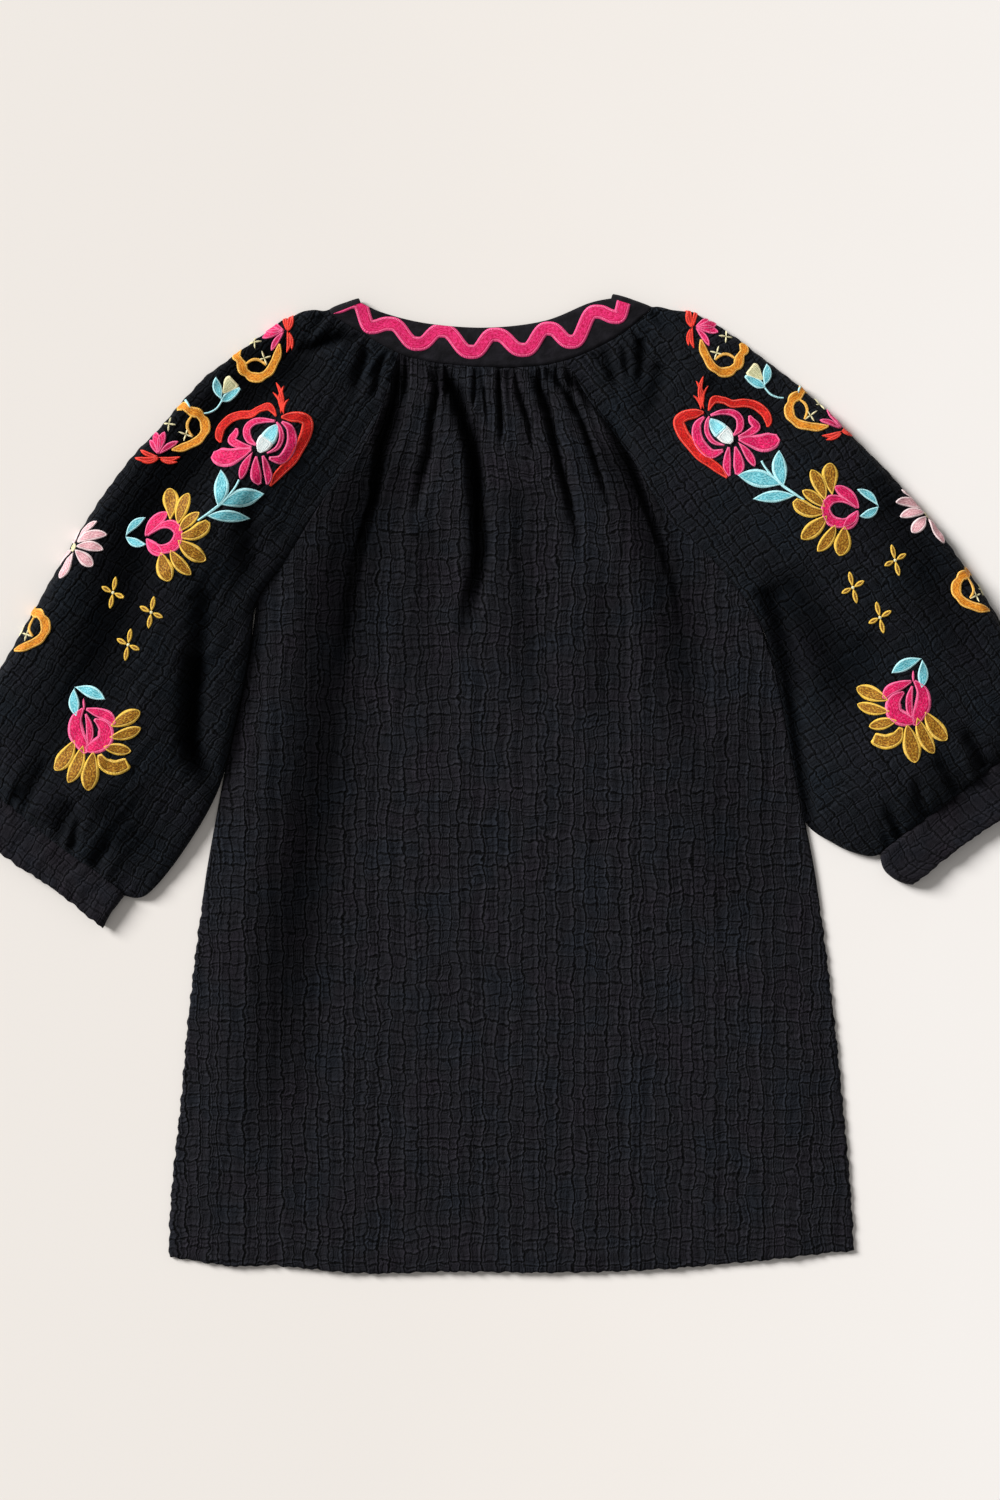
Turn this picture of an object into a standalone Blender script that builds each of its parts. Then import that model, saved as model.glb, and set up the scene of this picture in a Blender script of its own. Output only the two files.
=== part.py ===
"""A puff sleeve blouse laid flat on its front, so that its back shows.

It is cut as a maker cuts it: a front, a back, two raglan sleeves, two cuffs and a neck
band. Each is a wall of cloth. The back is gathered into the band, and each sleeve into
its cuff. Sizes are millimetres in the garment's own frame: x to the right from the
middle of the hem, y from the hem towards the neck, z up from the surface it lies on.
"""

import math
from collections import namedtuple

import bmesh
import bpy

MM = 0.001

CLOTH = 1.5
BAND_CLOTH = 1.8
SEAM_GAP = 0.45
CUFF_GAP = 0.8
SIDE_GAP = 0.9
LOWEST_BACK = 3.3

BODY_PLATEAU = 6.2
NECK_PLATEAU = 11.4
NECK_PLATEAU_FROM = 470.0
NECK_PLATEAU_TO = 640.0
EDGE_SOFTNESS = 26.0

SLEEVE_EDGE_Z = 4.0
SLEEVE_EDGE_RADIUS = 11.0
SLEEVE_UNDER_RADIUS = 4.0
SLEEVE_EDGE_SHARE = 0.62

CUFF_HEIGHT = 10.5
CUFF_EDGE_RADIUS = 6.0

FRONT_SEAM_DROP = 156.0
FRONT_TOP_DROP = 137.0
FRONT_RAGLAN_AT = 0.17

RAGLAN_STEPS = 9
ARMPIT_ROW = 6
BACK_COLUMNS = 48
SLEEVE_TOP_STEPS = 20
BAND_BACK_STEPS = 24
BAND_FRONT_STEPS = 22
BAND_ACROSS = 2

BLACK = (0.012, 0.012, 0.015, 1.0)
CLOTH_ROUGHNESS = 0.85

# Half widths of the body at some heights above the hem.
SideRow = namedtuple("SideRow", "y left right")
SIDES = (
    SideRow(10, -255.0, 255.5),
    SideRow(55, -253.5, 253.5),
    SideRow(130, -246.0, 247.0),
    SideRow(205, -239.0, 239.0),
    SideRow(300, -227.0, 226.5),
    SideRow(380, -212.5, 211.0),
    SideRow(450, -197.5, 198.0),
    SideRow(505, -189.5, 181.5),
)

# The hem's lower edge, which bows down between its corners.
HemRow = namedtuple("HemRow", "across y")
HEM = (
    HemRow(0.00, 12.0),
    HemRow(0.12, 6.0),
    HemRow(0.28, 0.0),
    HemRow(0.55, 1.0),
    HemRow(0.70, 3.0),
    HemRow(0.87, 10.0),
    HemRow(1.00, 17.0),
)

# The neck band across the back, from the left shoulder's fold to the right one.
NeckRow = namedtuple("NeckRow", "top_x top_y seam_x seam_y height")
NECK = (
    NeckRow(-112.6, 726.3, -134.6, 717.8, 9.0),
    NeckRow(-94.0, 718.5, -114.0, 706.0, 7.6),
    NeckRow(-62.0, 711.0, -76.0, 686.5, 6.4),
    NeckRow(-18.0, 708.0, -20.0, 679.0, 6.0),
    NeckRow(25.0, 713.0, 33.0, 682.0, 6.0),
    NeckRow(58.0, 726.0, 76.0, 699.5, 6.8),
    NeckRow(75.2, 729.7, 103.7, 720.2, 8.4),
)

# Sections of each sleeve from the neck to the cuff: the shoulder fold, then the raglan
# seam of the back as far as the armpit and the underarm edge below it, the height of
# the puff, and how high the back lies beside the seam.
SleeveRow = namedtuple("SleeveRow", "outer_x outer_y inner_x inner_y puff seam_z")
LEFT_SLEEVE = (
    SleeveRow(-138.0, 722.0, -82.5, 684.0, 9.5, 7.0),
    SleeveRow(-163.5, 717.0, -91.0, 662.0, 13.5, 8.6),
    SleeveRow(-196.0, 696.0, -101.5, 637.0, 17.5, 9.6),
    SleeveRow(-230.0, 670.5, -121.0, 608.0, 21.0, 9.6),
    SleeveRow(-261.0, 636.0, -145.0, 573.0, 24.0, 8.4),
    SleeveRow(-291.0, 603.0, -168.5, 535.0, 26.0, 6.4),
    SleeveRow(-316.5, 566.0, -190.0, 503.0, 27.0, 4.0),
    SleeveRow(-340.0, 528.0, -195.5, 462.0, 27.5, 4.0),
    SleeveRow(-362.0, 489.0, -206.0, 414.0, 27.5, 4.0),
    SleeveRow(-384.0, 449.0, -219.0, 363.0, 27.0, 4.0),
    SleeveRow(-404.0, 415.0, -244.0, 318.5, 25.0, 4.0),
    SleeveRow(-412.0, 388.0, -272.0, 284.5, 18.0, 4.0),
    SleeveRow(-402.0, 370.0, -289.5, 283.0, 10.5, 4.0),
)
RIGHT_SLEEVE = (
    SleeveRow(107.0, 724.0, 41.5, 684.0, 9.5, 7.0),
    SleeveRow(137.0, 719.0, 57.0, 657.0, 13.5, 8.6),
    SleeveRow(172.0, 698.0, 74.0, 634.0, 17.5, 9.6),
    SleeveRow(211.0, 667.5, 95.0, 604.0, 21.0, 9.6),
    SleeveRow(249.0, 634.0, 118.5, 565.0, 24.0, 8.4),
    SleeveRow(285.0, 597.0, 152.0, 534.0, 26.0, 6.4),
    SleeveRow(318.0, 558.0, 184.5, 491.0, 27.0, 4.0),
    SleeveRow(344.0, 523.0, 195.0, 459.0, 27.5, 4.0),
    SleeveRow(367.0, 488.5, 206.5, 406.0, 27.5, 4.0),
    SleeveRow(386.0, 451.0, 216.0, 355.0, 27.0, 4.0),
    SleeveRow(397.5, 430.0, 243.0, 321.5, 25.0, 4.0),
    SleeveRow(399.0, 416.0, 266.0, 313.0, 18.0, 4.0),
    SleeveRow(388.5, 401.0, 276.0, 314.0, 10.5, 4.0),
)
SLEEVES = {"left": LEFT_SLEEVE, "right": RIGHT_SLEEVE}
LOWER_RINGS = (6.5, 7.0, 7.6, 8.2, 8.8, 9.4, 10.0, 10.5, 11.0, 11.4, 11.75, 12.0)
RAGLAN_TOP_AT = {"left": 1.82, "right": 4.18}

# Each cuff's free edge, from its underarm end to its outer end. Its other edge is the
# last section of the sleeve.
CuffRow = namedtuple("CuffRow", "inner_x inner_y outer_x outer_y height")
CUFF_EDGES = {
    "left": CuffRow(-304.5, 260.5, -420.5, 344.5, 9.5),
    "right": CuffRow(299.0, 291.5, 415.5, 378.5, 9.5),
}

# Soft troughs between the ridges of the cloth, where it is gathered or has slumped.
Fold = namedtuple("Fold", "x0 y0 x1 y1 width depth")
BACK_FOLDS = (
    Fold(-87.0, 668.0, -104.0, 612.0, 8.0, 2.8),
    Fold(-104.0, 612.0, -122.0, 532.0, 11.0, 2.8),
    Fold(-124.0, 520.0, -150.0, 380.0, 24.0, 2.4),
    Fold(-155.0, 360.0, -192.0, 210.0, 30.0, 2.0),
    Fold(-64.0, 665.0, -72.0, 604.0, 6.0, 3.4),
    Fold(-45.0, 666.0, -35.0, 624.0, 5.0, 3.6),
    Fold(-35.0, 624.0, -26.0, 560.0, 6.5, 3.6),
    Fold(-27.0, 552.0, -38.0, 478.0, 10.0, 3.0),
    Fold(-19.0, 668.0, -16.0, 628.0, 4.6, 3.0),
    Fold(2.0, 667.0, 9.0, 604.0, 5.0, 3.6),
    Fold(10.0, 590.0, 18.0, 400.0, 15.0, 2.2),
    Fold(16.0, 668.0, 32.0, 618.0, 4.6, 3.6),
    Fold(32.0, 618.0, 46.0, 566.0, 6.0, 3.6),
    Fold(31.0, 671.0, 44.0, 640.0, 4.6, 3.4),
    Fold(46.0, 636.0, 64.0, 606.0, 8.0, 3.6),
    Fold(68.0, 600.0, 108.0, 532.0, 11.0, 3.0),
    Fold(112.0, 520.0, 128.0, 430.0, 20.0, 2.2),
    Fold(150.0, 400.0, 176.0, 230.0, 34.0, 1.4),
)
LEFT_FOLDS = (
    Fold(-126.0, 702.0, -172.0, 683.0, 7.0, 5.0),
    Fold(-108.0, 688.0, -116.0, 666.0, 5.0, 2.8),
    Fold(-96.0, 682.0, -103.0, 662.0, 4.5, 2.8),
    Fold(-168.0, 672.0, -226.0, 634.0, 15.0, 3.0),
    Fold(-214.0, 542.0, -229.0, 474.0, 12.0, 9.0),
    Fold(-229.0, 474.0, -242.0, 388.0, 13.0, 10.0),
    Fold(-268.0, 540.0, -312.0, 446.0, 20.0, 4.5),
    Fold(-349.0, 382.0, -366.0, 352.0, 8.0, 5.0),
    Fold(-384.0, 398.0, -386.0, 372.0, 6.0, 5.0),
    Fold(-328.0, 352.0, -340.0, 334.0, 6.0, 4.0),
    Fold(-304.0, 318.0, -313.0, 307.0, 5.0, 3.6),
    Fold(-362.0, 410.0, -372.0, 362.0, 6.0, 3.6),
)
RIGHT_FOLDS = (
    Fold(70.0, 688.0, 80.0, 664.0, 5.0, 3.4),
    Fold(98.0, 696.0, 97.0, 664.0, 6.0, 4.2),
    Fold(84.0, 690.0, 88.0, 672.0, 4.5, 2.6),
    Fold(112.0, 672.0, 104.0, 640.0, 8.0, 3.0),
    Fold(150.0, 664.0, 214.0, 620.0, 15.0, 2.6),
    Fold(206.0, 506.0, 214.0, 440.0, 13.0, 8.0),
    Fold(220.0, 420.0, 230.0, 352.0, 12.0, 7.0),
    Fold(300.0, 520.0, 262.0, 400.0, 24.0, 3.6),
    Fold(343.0, 412.0, 353.0, 380.0, 5.0, 5.4),
    Fold(297.0, 364.0, 309.0, 346.0, 5.0, 4.6),
    Fold(322.0, 392.0, 331.0, 364.0, 7.0, 3.6),
    Fold(372.0, 424.0, 376.0, 398.0, 7.0, 4.6),
    Fold(284.0, 346.0, 289.0, 330.0, 5.0, 3.6),
)
SLEEVE_FOLDS = {"left": LEFT_FOLDS, "right": RIGHT_FOLDS}


def clear_scene():
    for obj in list(bpy.data.objects):
        bpy.data.objects.remove(obj, do_unlink=True)


def mix(a, b, share):
    return a + (b - a) * share


def smooth(share):
    share = min(1.0, max(0.0, share))
    return share * share * (3.0 - 2.0 * share)


def between(rows, at):
    """All columns of a table's rows, followed smoothly to the row number at."""
    i = min(int(at), len(rows) - 2)
    s = at - i
    before, here, there, after = (rows[max(i - 1, 0)], rows[i], rows[i + 1], rows[min(i + 2, len(rows) - 1)])
    made = []
    for a, b, c, d in zip(before, here, there, after):
        slope_b, slope_c = (c - a) / 2, (d - b) / 2
        made.append(
            (2 * s**3 - 3 * s**2 + 1) * b
            + (s**3 - 2 * s**2 + s) * slope_b
            + (3 * s**2 - 2 * s**3) * c
            + (s**3 - s**2) * slope_c
        )
    return type(here)(*made)


def row_number(rows, column, value):
    """The row number at which a rising column reaches a value."""
    for i in range(len(rows) - 1):
        low, high = getattr(rows[i], column), getattr(rows[i + 1], column)
        if value <= high or i == len(rows) - 2:
            return i + (value - low) / (high - low)


def side_x(side, y):
    """Where the body's side edge is at a height above the hem."""
    at = min(max(row_number(SIDES, "y", y), 0.0), len(SIDES) - 1.0)
    return getattr(between(SIDES, at), side)


def hem_y(across):
    return between(HEM, row_number(HEM, "across", across)).y


def outwards(side):
    """-1 on the left of the garment and 1 on its right."""
    return -1.0 if side == "left" else 1.0


def trough(folds, x, y):
    """How deep the folds press the cloth at a point."""
    deep = 0.0
    for f in folds:
        run_x, run_y = f.x1 - f.x0, f.y1 - f.y0
        share = ((x - f.x0) * run_x + (y - f.y0) * run_y) / (run_x**2 + run_y**2)
        share = min(1.0, max(0.0, share))
        away = math.hypot(x - f.x0 - share * run_x, y - f.y0 - share * run_y)
        deep = max(deep, f.depth * math.exp(-((away / f.width) ** 2)))
    return deep


def above(height, lowest):
    """The height, eased so that it never goes under the lowest one."""
    spare = height - lowest
    return lowest + (spare + math.sqrt(spare * spare + 0.1)) / 2


def neck_back(at):
    """The band's two edges across the back at a row number of its table, as 3-D points."""
    row = between(NECK, at)
    return (row.top_x, row.top_y, row.height), (row.seam_x, row.seam_y, row.height)


def fold_turn(side, angle):
    """The band's two edges where it turns under at a shoulder, 0 on top and pi below."""
    row = NECK[0] if side == "left" else NECK[-1]
    along_x, along_y = row.seam_x - row.top_x, row.seam_y - row.top_y
    length = math.hypot(along_x, along_y)
    out_x, out_y = -along_y / length, along_x / length
    if out_y < 0:
        out_x, out_y = -out_x, -out_y
    radius = row.height / 2
    reach, z = radius * math.sin(angle), radius + radius * math.cos(angle)
    top = (row.top_x + out_x * reach, row.top_y + out_y * reach, z)
    seam = (row.seam_x + out_x * reach, row.seam_y + out_y * reach, z)
    return top, seam


def neck_front(at):
    """The band's two edges along the front neckline, 0 at the left fold and 1 at the right."""
    share = (1 - math.cos(math.pi * at)) / 2
    dip = math.sin(math.pi * at)
    left, right = NECK[0], NECK[-1]
    top = (mix(left.top_x, right.top_x, share), mix(left.top_y, right.top_y, share) - FRONT_TOP_DROP * dip, 0.0)
    seam = (
        mix(left.seam_x, right.seam_x, share),
        mix(left.seam_y, right.seam_y, share) - FRONT_SEAM_DROP * dip,
        0.0,
    )
    return top, seam


def beyond_seam(edges, gap=SEAM_GAP):
    """A point just past the band's seam edge, away from the band."""
    top, seam = edges
    run_x, run_y = seam[0] - top[0], seam[1] - top[1]
    length = math.hypot(run_x, run_y)
    return (seam[0] + run_x / length * gap, seam[1] + run_y / length * gap, seam[2])


def raglan_back(side, at):
    """A point of the back's raglan seam, 0 at the band and ARMPIT_ROW at the armpit."""
    if at <= 0:
        return beyond_seam(neck_back(RAGLAN_TOP_AT[side]))
    row = between(SLEEVES[side], at)
    top = beyond_seam(neck_back(RAGLAN_TOP_AT[side]))
    start = SLEEVES[side][0]
    fade = max(0.0, 1 - at / 2)
    return (row.inner_x + (top[0] - start.inner_x) * fade, row.inner_y + (top[1] - start.inner_y) * fade, row.seam_z)


def raglan_front(side, at):
    """A point of the front's raglan seam, which lies under the sleeve."""
    along = FRONT_RAGLAN_AT if side == "left" else 1 - FRONT_RAGLAN_AT
    top = beyond_seam(neck_front(along))
    armpit = raglan_back(side, ARMPIT_ROW)
    share = at / ARMPIT_ROW
    bend = outwards(side) * -4.0 * math.sin(math.pi * share)
    return (mix(top[0], armpit[0], share) + bend, mix(top[1], armpit[1], share), 0.0)


def sleeve_stations():
    """The places round a sleeve's section: over the top from the inner edge, round the
    shoulder fold, and back under it."""
    top = [("inner_top", a) for a in (0, 30, 60)]
    top += [("top", i / SLEEVE_TOP_STEPS) for i in range(SLEEVE_TOP_STEPS + 1)]
    fold = [("fold", a) for a in (30, 60, 90, 120, 150)]
    under = [("under", i / 6) for i in range(7)]
    under += [("inner_under", a) for a in (45, 0)]
    return top + fold + under


def neck_ring(side):
    """The sleeve's first ring, which follows the band's seam edge round the shoulder."""
    first = RAGLAN_TOP_AT[side]
    last = 0.0 if side == "left" else len(NECK) - 1.0
    front = (0.0, FRONT_RAGLAN_AT) if side == "left" else (1.0, 1 - FRONT_RAGLAN_AT)
    ring = []
    for part, value in sleeve_stations():
        if part == "inner_top":
            ring.append(beyond_seam(neck_back(mix(first, last, 0.06 * (1 - math.cos(math.radians(value)))))))
        elif part == "top":
            ring.append(beyond_seam(neck_back(mix(first, last, mix(0.06, 1.0, value)))))
        elif part == "fold":
            ring.append(beyond_seam(fold_turn(side, math.radians(value))))
        elif part == "under":
            ring.append(beyond_seam(neck_front(mix(*front, 0.96 * value))))
        else:
            ring.append(beyond_seam(neck_front(mix(*front, mix(1.0, 0.96, value / 90)))))
    return ring


def sleeve_ring(side, at):
    """One section of a sleeve, as the outer points of its wall."""
    if at <= 0:
        return neck_ring(side)
    row = between(SLEEVES[side], at)
    is_closed = at >= ARMPIT_ROW
    closing = smooth((at - 3.0) / (ARMPIT_ROW - 3.0))
    outer = (row.outer_x, row.outer_y)
    if is_closed:
        edge = side_x(side, row.inner_y) + outwards(side) * SIDE_GAP
        inner_x = min(row.inner_x, edge) if side == "left" else max(row.inner_x, edge)
        inner_top = inner_under = (inner_x, row.inner_y)
    else:
        inner_top = raglan_back(side, at)[:2]
        inner_under = raglan_front(side, at)[:2]
    width = math.dist(inner_top, outer)
    under_width = math.dist(inner_under, outer)
    radius = min(SLEEVE_EDGE_RADIUS, row.puff * 0.55)
    edge_height = row.puff * SLEEVE_EDGE_SHARE
    seam_height = mix(row.seam_z, edge_height, closing)
    folds = SLEEVE_FOLDS[side] + BACK_FOLDS

    def top_height(share, x, y, rounding):
        rise = smooth(share / 0.45) if share < 0.45 else smooth((1 - share) / 0.55)
        low = seam_height if share < 0.45 else edge_height
        height = mix(low, row.puff, rise) - trough(folds, x, y)
        return above(SLEEVE_EDGE_Z + (height - SLEEVE_EDGE_Z) * rounding, LOWEST_BACK)

    ring = []
    for part, value in sleeve_stations():
        angle = math.radians(value)
        rounding, z = 1.0, None
        if part == "inner_top":
            away = radius * (1 - math.cos(angle))
            rounding = mix(1.0, math.sin(angle), closing)
            share, start, end = away / width, inner_top, outer
        elif part == "top":
            share, start, end = mix(radius / width, 1 - radius / width, value), inner_top, outer
        elif part == "fold" and value <= 90:
            share, start, end = 1 - radius * (1 - math.sin(angle)) / width, inner_top, outer
            rounding = math.cos(angle)
        elif part == "fold":
            share, start, end = 1 - SLEEVE_UNDER_RADIUS * (1 - math.sin(angle)) / under_width, inner_under, outer
            z = SLEEVE_EDGE_Z * (1 + math.cos(angle))
        elif part == "under":
            inset = SLEEVE_UNDER_RADIUS / under_width
            share, start, end = mix(1 - inset, inset, value), inner_under, outer
            z = 0.0
        else:
            share = SLEEVE_UNDER_RADIUS * (1 - math.sin(math.radians(90 - value))) / under_width
            start, end = inner_under, outer
            z = SLEEVE_EDGE_Z * (1 - math.sin(angle)) if is_closed else 0.0
        x, y = mix(start[0], end[0], share), mix(start[1], end[1], share)
        if z is None:
            z = top_height(share, x, y, rounding)
            if part == "inner_top" and value == 0 and is_closed:
                z = SLEEVE_EDGE_Z
        ring.append((x, y, z))
    return ring


def sleeve_rings(side):
    upper = [ARMPIT_ROW * i / RAGLAN_STEPS for i in range(RAGLAN_STEPS + 1)]
    return [sleeve_ring(side, at) for at in upper + list(LOWER_RINGS)]


def cuff_rings(side):
    """The cuff's rings, from just past the sleeve's last section to its free edge."""
    start, edge = SLEEVES[side][-1], CUFF_EDGES[side]
    rings = []
    for share in (0.0, 0.5, 1.0):
        inner = (mix(start.inner_x, edge.inner_x, share), mix(start.inner_y, edge.inner_y, share))
        outer = (mix(start.outer_x, edge.outer_x, share), mix(start.outer_y, edge.outer_y, share))
        rings.append(cuff_ring(inner, outer, mix(CUFF_HEIGHT, edge.height, share)))
    down_x, down_y = edge.inner_x - start.inner_x, edge.inner_y - start.inner_y
    length = math.hypot(down_x, down_y)
    shift = (down_x / length * CUFF_GAP, down_y / length * CUFF_GAP)
    rings[0] = [(x + shift[0], y + shift[1], z) for x, y, z in rings[0]]
    return rings


def cuff_ring(inner, outer, height):
    """A flattened ring with a flat underside and rounded ends."""
    width = math.dist(inner, outer)
    ring = []
    for part, value in sleeve_stations():
        angle = math.radians(value)
        if part == "inner_top":
            away, z = CUFF_EDGE_RADIUS * (1 - math.cos(angle)), SLEEVE_EDGE_Z + (height - SLEEVE_EDGE_Z) * math.sin(angle)
        elif part == "top":
            away, z = mix(CUFF_EDGE_RADIUS, width - CUFF_EDGE_RADIUS, value), height
        elif part == "fold" and value <= 90:
            away = width - CUFF_EDGE_RADIUS * (1 - math.sin(angle))
            z = SLEEVE_EDGE_Z + (height - SLEEVE_EDGE_Z) * math.cos(angle)
        elif part == "fold":
            away = width - SLEEVE_UNDER_RADIUS * (1 - math.sin(angle))
            z = SLEEVE_EDGE_Z * (1 + math.cos(angle))
        elif part == "under":
            away, z = mix(width - SLEEVE_UNDER_RADIUS, SLEEVE_UNDER_RADIUS, value), 0.0
        else:
            away, z = SLEEVE_UNDER_RADIUS * (1 - math.cos(angle)), SLEEVE_EDGE_Z * (1 - math.sin(angle))
        share = away / width
        ring.append((mix(inner[0], outer[0], share), mix(inner[1], outer[1], share), z))
    return ring


def back_rows():
    """The back's rows from the hem up to the band, each from the left edge to the right."""
    levels = [("body", q) for q in (0.0, 0.03, 0.14, 0.26, 0.38, 0.50, 0.62, 0.73, 0.84, 0.93)]
    levels += [("raglan", ARMPIT_ROW * (1 - i / RAGLAN_STEPS)) for i in range(RAGLAN_STEPS + 1)]
    return [back_row(part, value) for part, value in levels]


def back_row(part, value):
    armpits = {side: raglan_back(side, ARMPIT_ROW) for side in ("left", "right")}
    ends = {}
    for side in ("left", "right"):
        if part == "body":
            corner_y = HEM[0].y if side == "left" else HEM[-1].y
            y = mix(corner_y, armpits[side][1], value)
            ends[side] = (side_x(side, y), y, LOWEST_BACK)
        else:
            x, y, z = raglan_back(side, value)
            ends[side] = (x - outwards(side) * SEAM_GAP, y, z)
    left, right = ends["left"], ends["right"]
    width = right[0] - left[0]
    row = []
    for column in range(BACK_COLUMNS + 1):
        across = column / BACK_COLUMNS
        x, y = mix(left[0], right[0], across), mix(left[1], right[1], across)
        if part == "body":
            y += (hem_y(across) - mix(HEM[0].y, HEM[-1].y, across)) * (1 - value) ** 2
        else:
            along = mix(RAGLAN_TOP_AT["left"], RAGLAN_TOP_AT["right"], across)
            seam = beyond_seam(neck_back(along))
            straight = mix(raglan_back("left", 0)[1], raglan_back("right", 0)[1], across)
            y += (seam[1] - straight) * (1 - value / ARMPIT_ROW) ** 1.5
            if value == 0:
                x = seam[0]
        plateau = mix(BODY_PLATEAU, NECK_PLATEAU, smooth((y - NECK_PLATEAU_FROM) / (NECK_PLATEAU_TO - NECK_PLATEAU_FROM)))
        soft = min(EDGE_SOFTNESS, width / 5)
        to_left, to_right = across * width, (1 - across) * width
        height = plateau
        height += (left[2] - plateau) * math.exp(-((to_left / soft) ** 2))
        height += (right[2] - plateau) * math.exp(-((to_right / soft) ** 2))
        if part == "raglan" and value == 0:
            height = neck_back(mix(RAGLAN_TOP_AT["left"], RAGLAN_TOP_AT["right"], across))[1][2]
        if part == "body" and value == 0:
            height = mix(height, LOWEST_BACK, 0.6)
        side = smooth(min(to_left, to_right) / 10.0)
        height -= trough(BACK_FOLDS, x, y) * (side if part == "body" else 1.0)
        row.append((x, y, above(height, LOWEST_BACK)))
    return row


def band_rows():
    """The neck band's loop: across the back, under at the right shoulder, round the
    front neckline and up at the left one."""
    stations = [neck_back((len(NECK) - 1) * i / BAND_BACK_STEPS) for i in range(BAND_BACK_STEPS + 1)]
    turn = (45, 90, 135)
    stations += [fold_turn("right", math.radians(a)) for a in turn]
    stations += [neck_front(1 - i / BAND_FRONT_STEPS) for i in range(BAND_FRONT_STEPS + 1)]
    stations += [fold_turn("left", math.radians(180 - a)) for a in turn]
    rows = []
    for top, seam in stations:
        rows.append([tuple(mix(a, b, i / BAND_ACROSS) for a, b in zip(top, seam)) for i in range(BAND_ACROSS + 1)])
    return rows


def front_outline():
    """The front's cut edge: hem, right side, right raglan, neckline, left raglan, left side."""
    inset = 1.2
    hem = []
    for i in range(25):
        across = i / 24
        hem.append((mix(SIDES[0].left + inset, SIDES[0].right - inset, across), hem_y(across) + inset))
    sides = {}
    for side in ("left", "right"):
        armpit_y = raglan_back(side, ARMPIT_ROW)[1] - 1.0
        steps = [mix(30.0, armpit_y, i / 14) for i in range(15)]
        sides[side] = [(side_x(side, y) - outwards(side) * inset, y) for y in steps]
    raglans = {}
    for side in ("left", "right"):
        points = [raglan_front(side, ARMPIT_ROW * (1 - i / RAGLAN_STEPS)) for i in range(1, RAGLAN_STEPS)]
        raglans[side] = [(x - outwards(side) * SEAM_GAP * 1.6, y) for x, y, z in points]
    first, last = 1 - FRONT_RAGLAN_AT - 0.01, FRONT_RAGLAN_AT + 0.01
    neckline = [beyond_seam(neck_front(mix(first, last, i / 30)), SEAM_GAP * 1.6)[:2] for i in range(31)]
    return hem + sides["right"] + raglans["right"] + neckline + raglans["left"][::-1] + sides["left"][::-1]


def cloth_material(name):
    material = bpy.data.materials.new(name)
    material.use_nodes = True
    shader = material.node_tree.nodes["Principled BSDF"]
    shader.inputs["Base Color"].default_value = BLACK
    shader.inputs["Roughness"].default_value = CLOTH_ROUGHNESS
    shader.inputs["Metallic"].default_value = 0.0
    material.diffuse_color = BLACK
    return material


def add_object(name, data, collection, parent):
    obj = bpy.data.objects.new(name, data)
    obj.data.materials.append(cloth_material(name + "_cloth"))
    collection.objects.link(obj)
    obj.parent = parent
    return obj


def loft(name, rows, thickness, collection, parent, loops=False, turned=False):
    """A wall of cloth: a sheet through rows of outer points, thickened inwards."""
    work = bmesh.new()
    made = [[work.verts.new([c * MM for c in point]) for point in row] for row in rows]
    pairs = list(zip(made, made[1:]))
    if loops:
        pairs.append((made[-1], made[0]))
    for low, high in pairs:
        for i in range(len(low) - 1):
            corners = [low[i], low[i + 1], high[i + 1], high[i]]
            work.faces.new(corners[::-1] if turned else corners)
    bmesh.ops.remove_doubles(work, verts=work.verts, dist=0.00001)
    mesh = bpy.data.meshes.new(name)
    work.to_mesh(mesh)
    work.free()
    obj = add_object(name, mesh, collection, parent)
    solidify = obj.modifiers.new("cloth", "SOLIDIFY")
    solidify.thickness = thickness * MM
    solidify.offset = -1.0
    solidify.use_even_offset = False
    mesh.shade_smooth()
    return obj


def flat_panel(name, outline, thickness, collection, parent):
    """A flat piece of cloth lying on the surface."""
    curve = bpy.data.curves.new(name, "CURVE")
    curve.dimensions = "2D"
    curve.fill_mode = "BOTH"
    curve.extrude = thickness * MM / 2
    spline = curve.splines.new("POLY")
    spline.points.add(len(outline) - 1)
    for point, (x, y) in zip(spline.points, outline):
        point.co = (x * MM, y * MM, 0.0, 1.0)
    spline.use_cyclic_u = True
    obj = add_object(name, curve, collection, parent)
    obj.location.z = thickness * MM / 2
    return obj


def plan_middle(row_groups):
    """The middle of everything in plan, which becomes the part's origin."""
    points = [point for rows in row_groups for row in rows for point in row]
    xs, ys = [p[0] for p in points], [p[1] for p in points]
    return (min(xs) + max(xs)) / 2 * MM, (min(ys) + max(ys)) / 2 * MM


def main():
    clear_scene()
    collection = bpy.data.collections.new("puff_sleeve_blouse")
    bpy.context.scene.collection.children.link(collection)
    garment = bpy.data.objects.new("garment_frame", None)
    collection.objects.link(garment)

    back, band = back_rows(), band_rows()
    sleeves = {side: sleeve_rings(side) for side in SLEEVES}
    cuffs = {side: cuff_rings(side) for side in SLEEVES}

    flat_panel("front_panel", front_outline(), CLOTH, collection, garment)
    loft("back_panel", back, CLOTH, collection, garment)
    for side in SLEEVES:
        is_turned = side == "right"
        loft(side + "_sleeve", sleeves[side], CLOTH, collection, garment, turned=is_turned)
        loft(side + "_cuff", cuffs[side], BAND_CLOTH, collection, garment, turned=is_turned)
    loft("neck_band", band, BAND_CLOTH, collection, garment, loops=True)

    middle_x, middle_y = plan_middle([back, band, *sleeves.values(), *cuffs.values()])
    garment.location = (-middle_x, -middle_y, 0.0)


main()
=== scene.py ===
"""A puff sleeve blouse of black crinkled gauze, laid flat with its back up.

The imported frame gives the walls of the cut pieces. This script lays the cloth over them:
the gauze with its crinkle and gathers, the cuffs, the neck band with its satin wave, and
the flowers embroidered on the sleeves. Tables are millimetres in the garment's own frame:
x to the right from the middle of the hem, y from the hem towards the neck, z up.
"""

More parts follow.
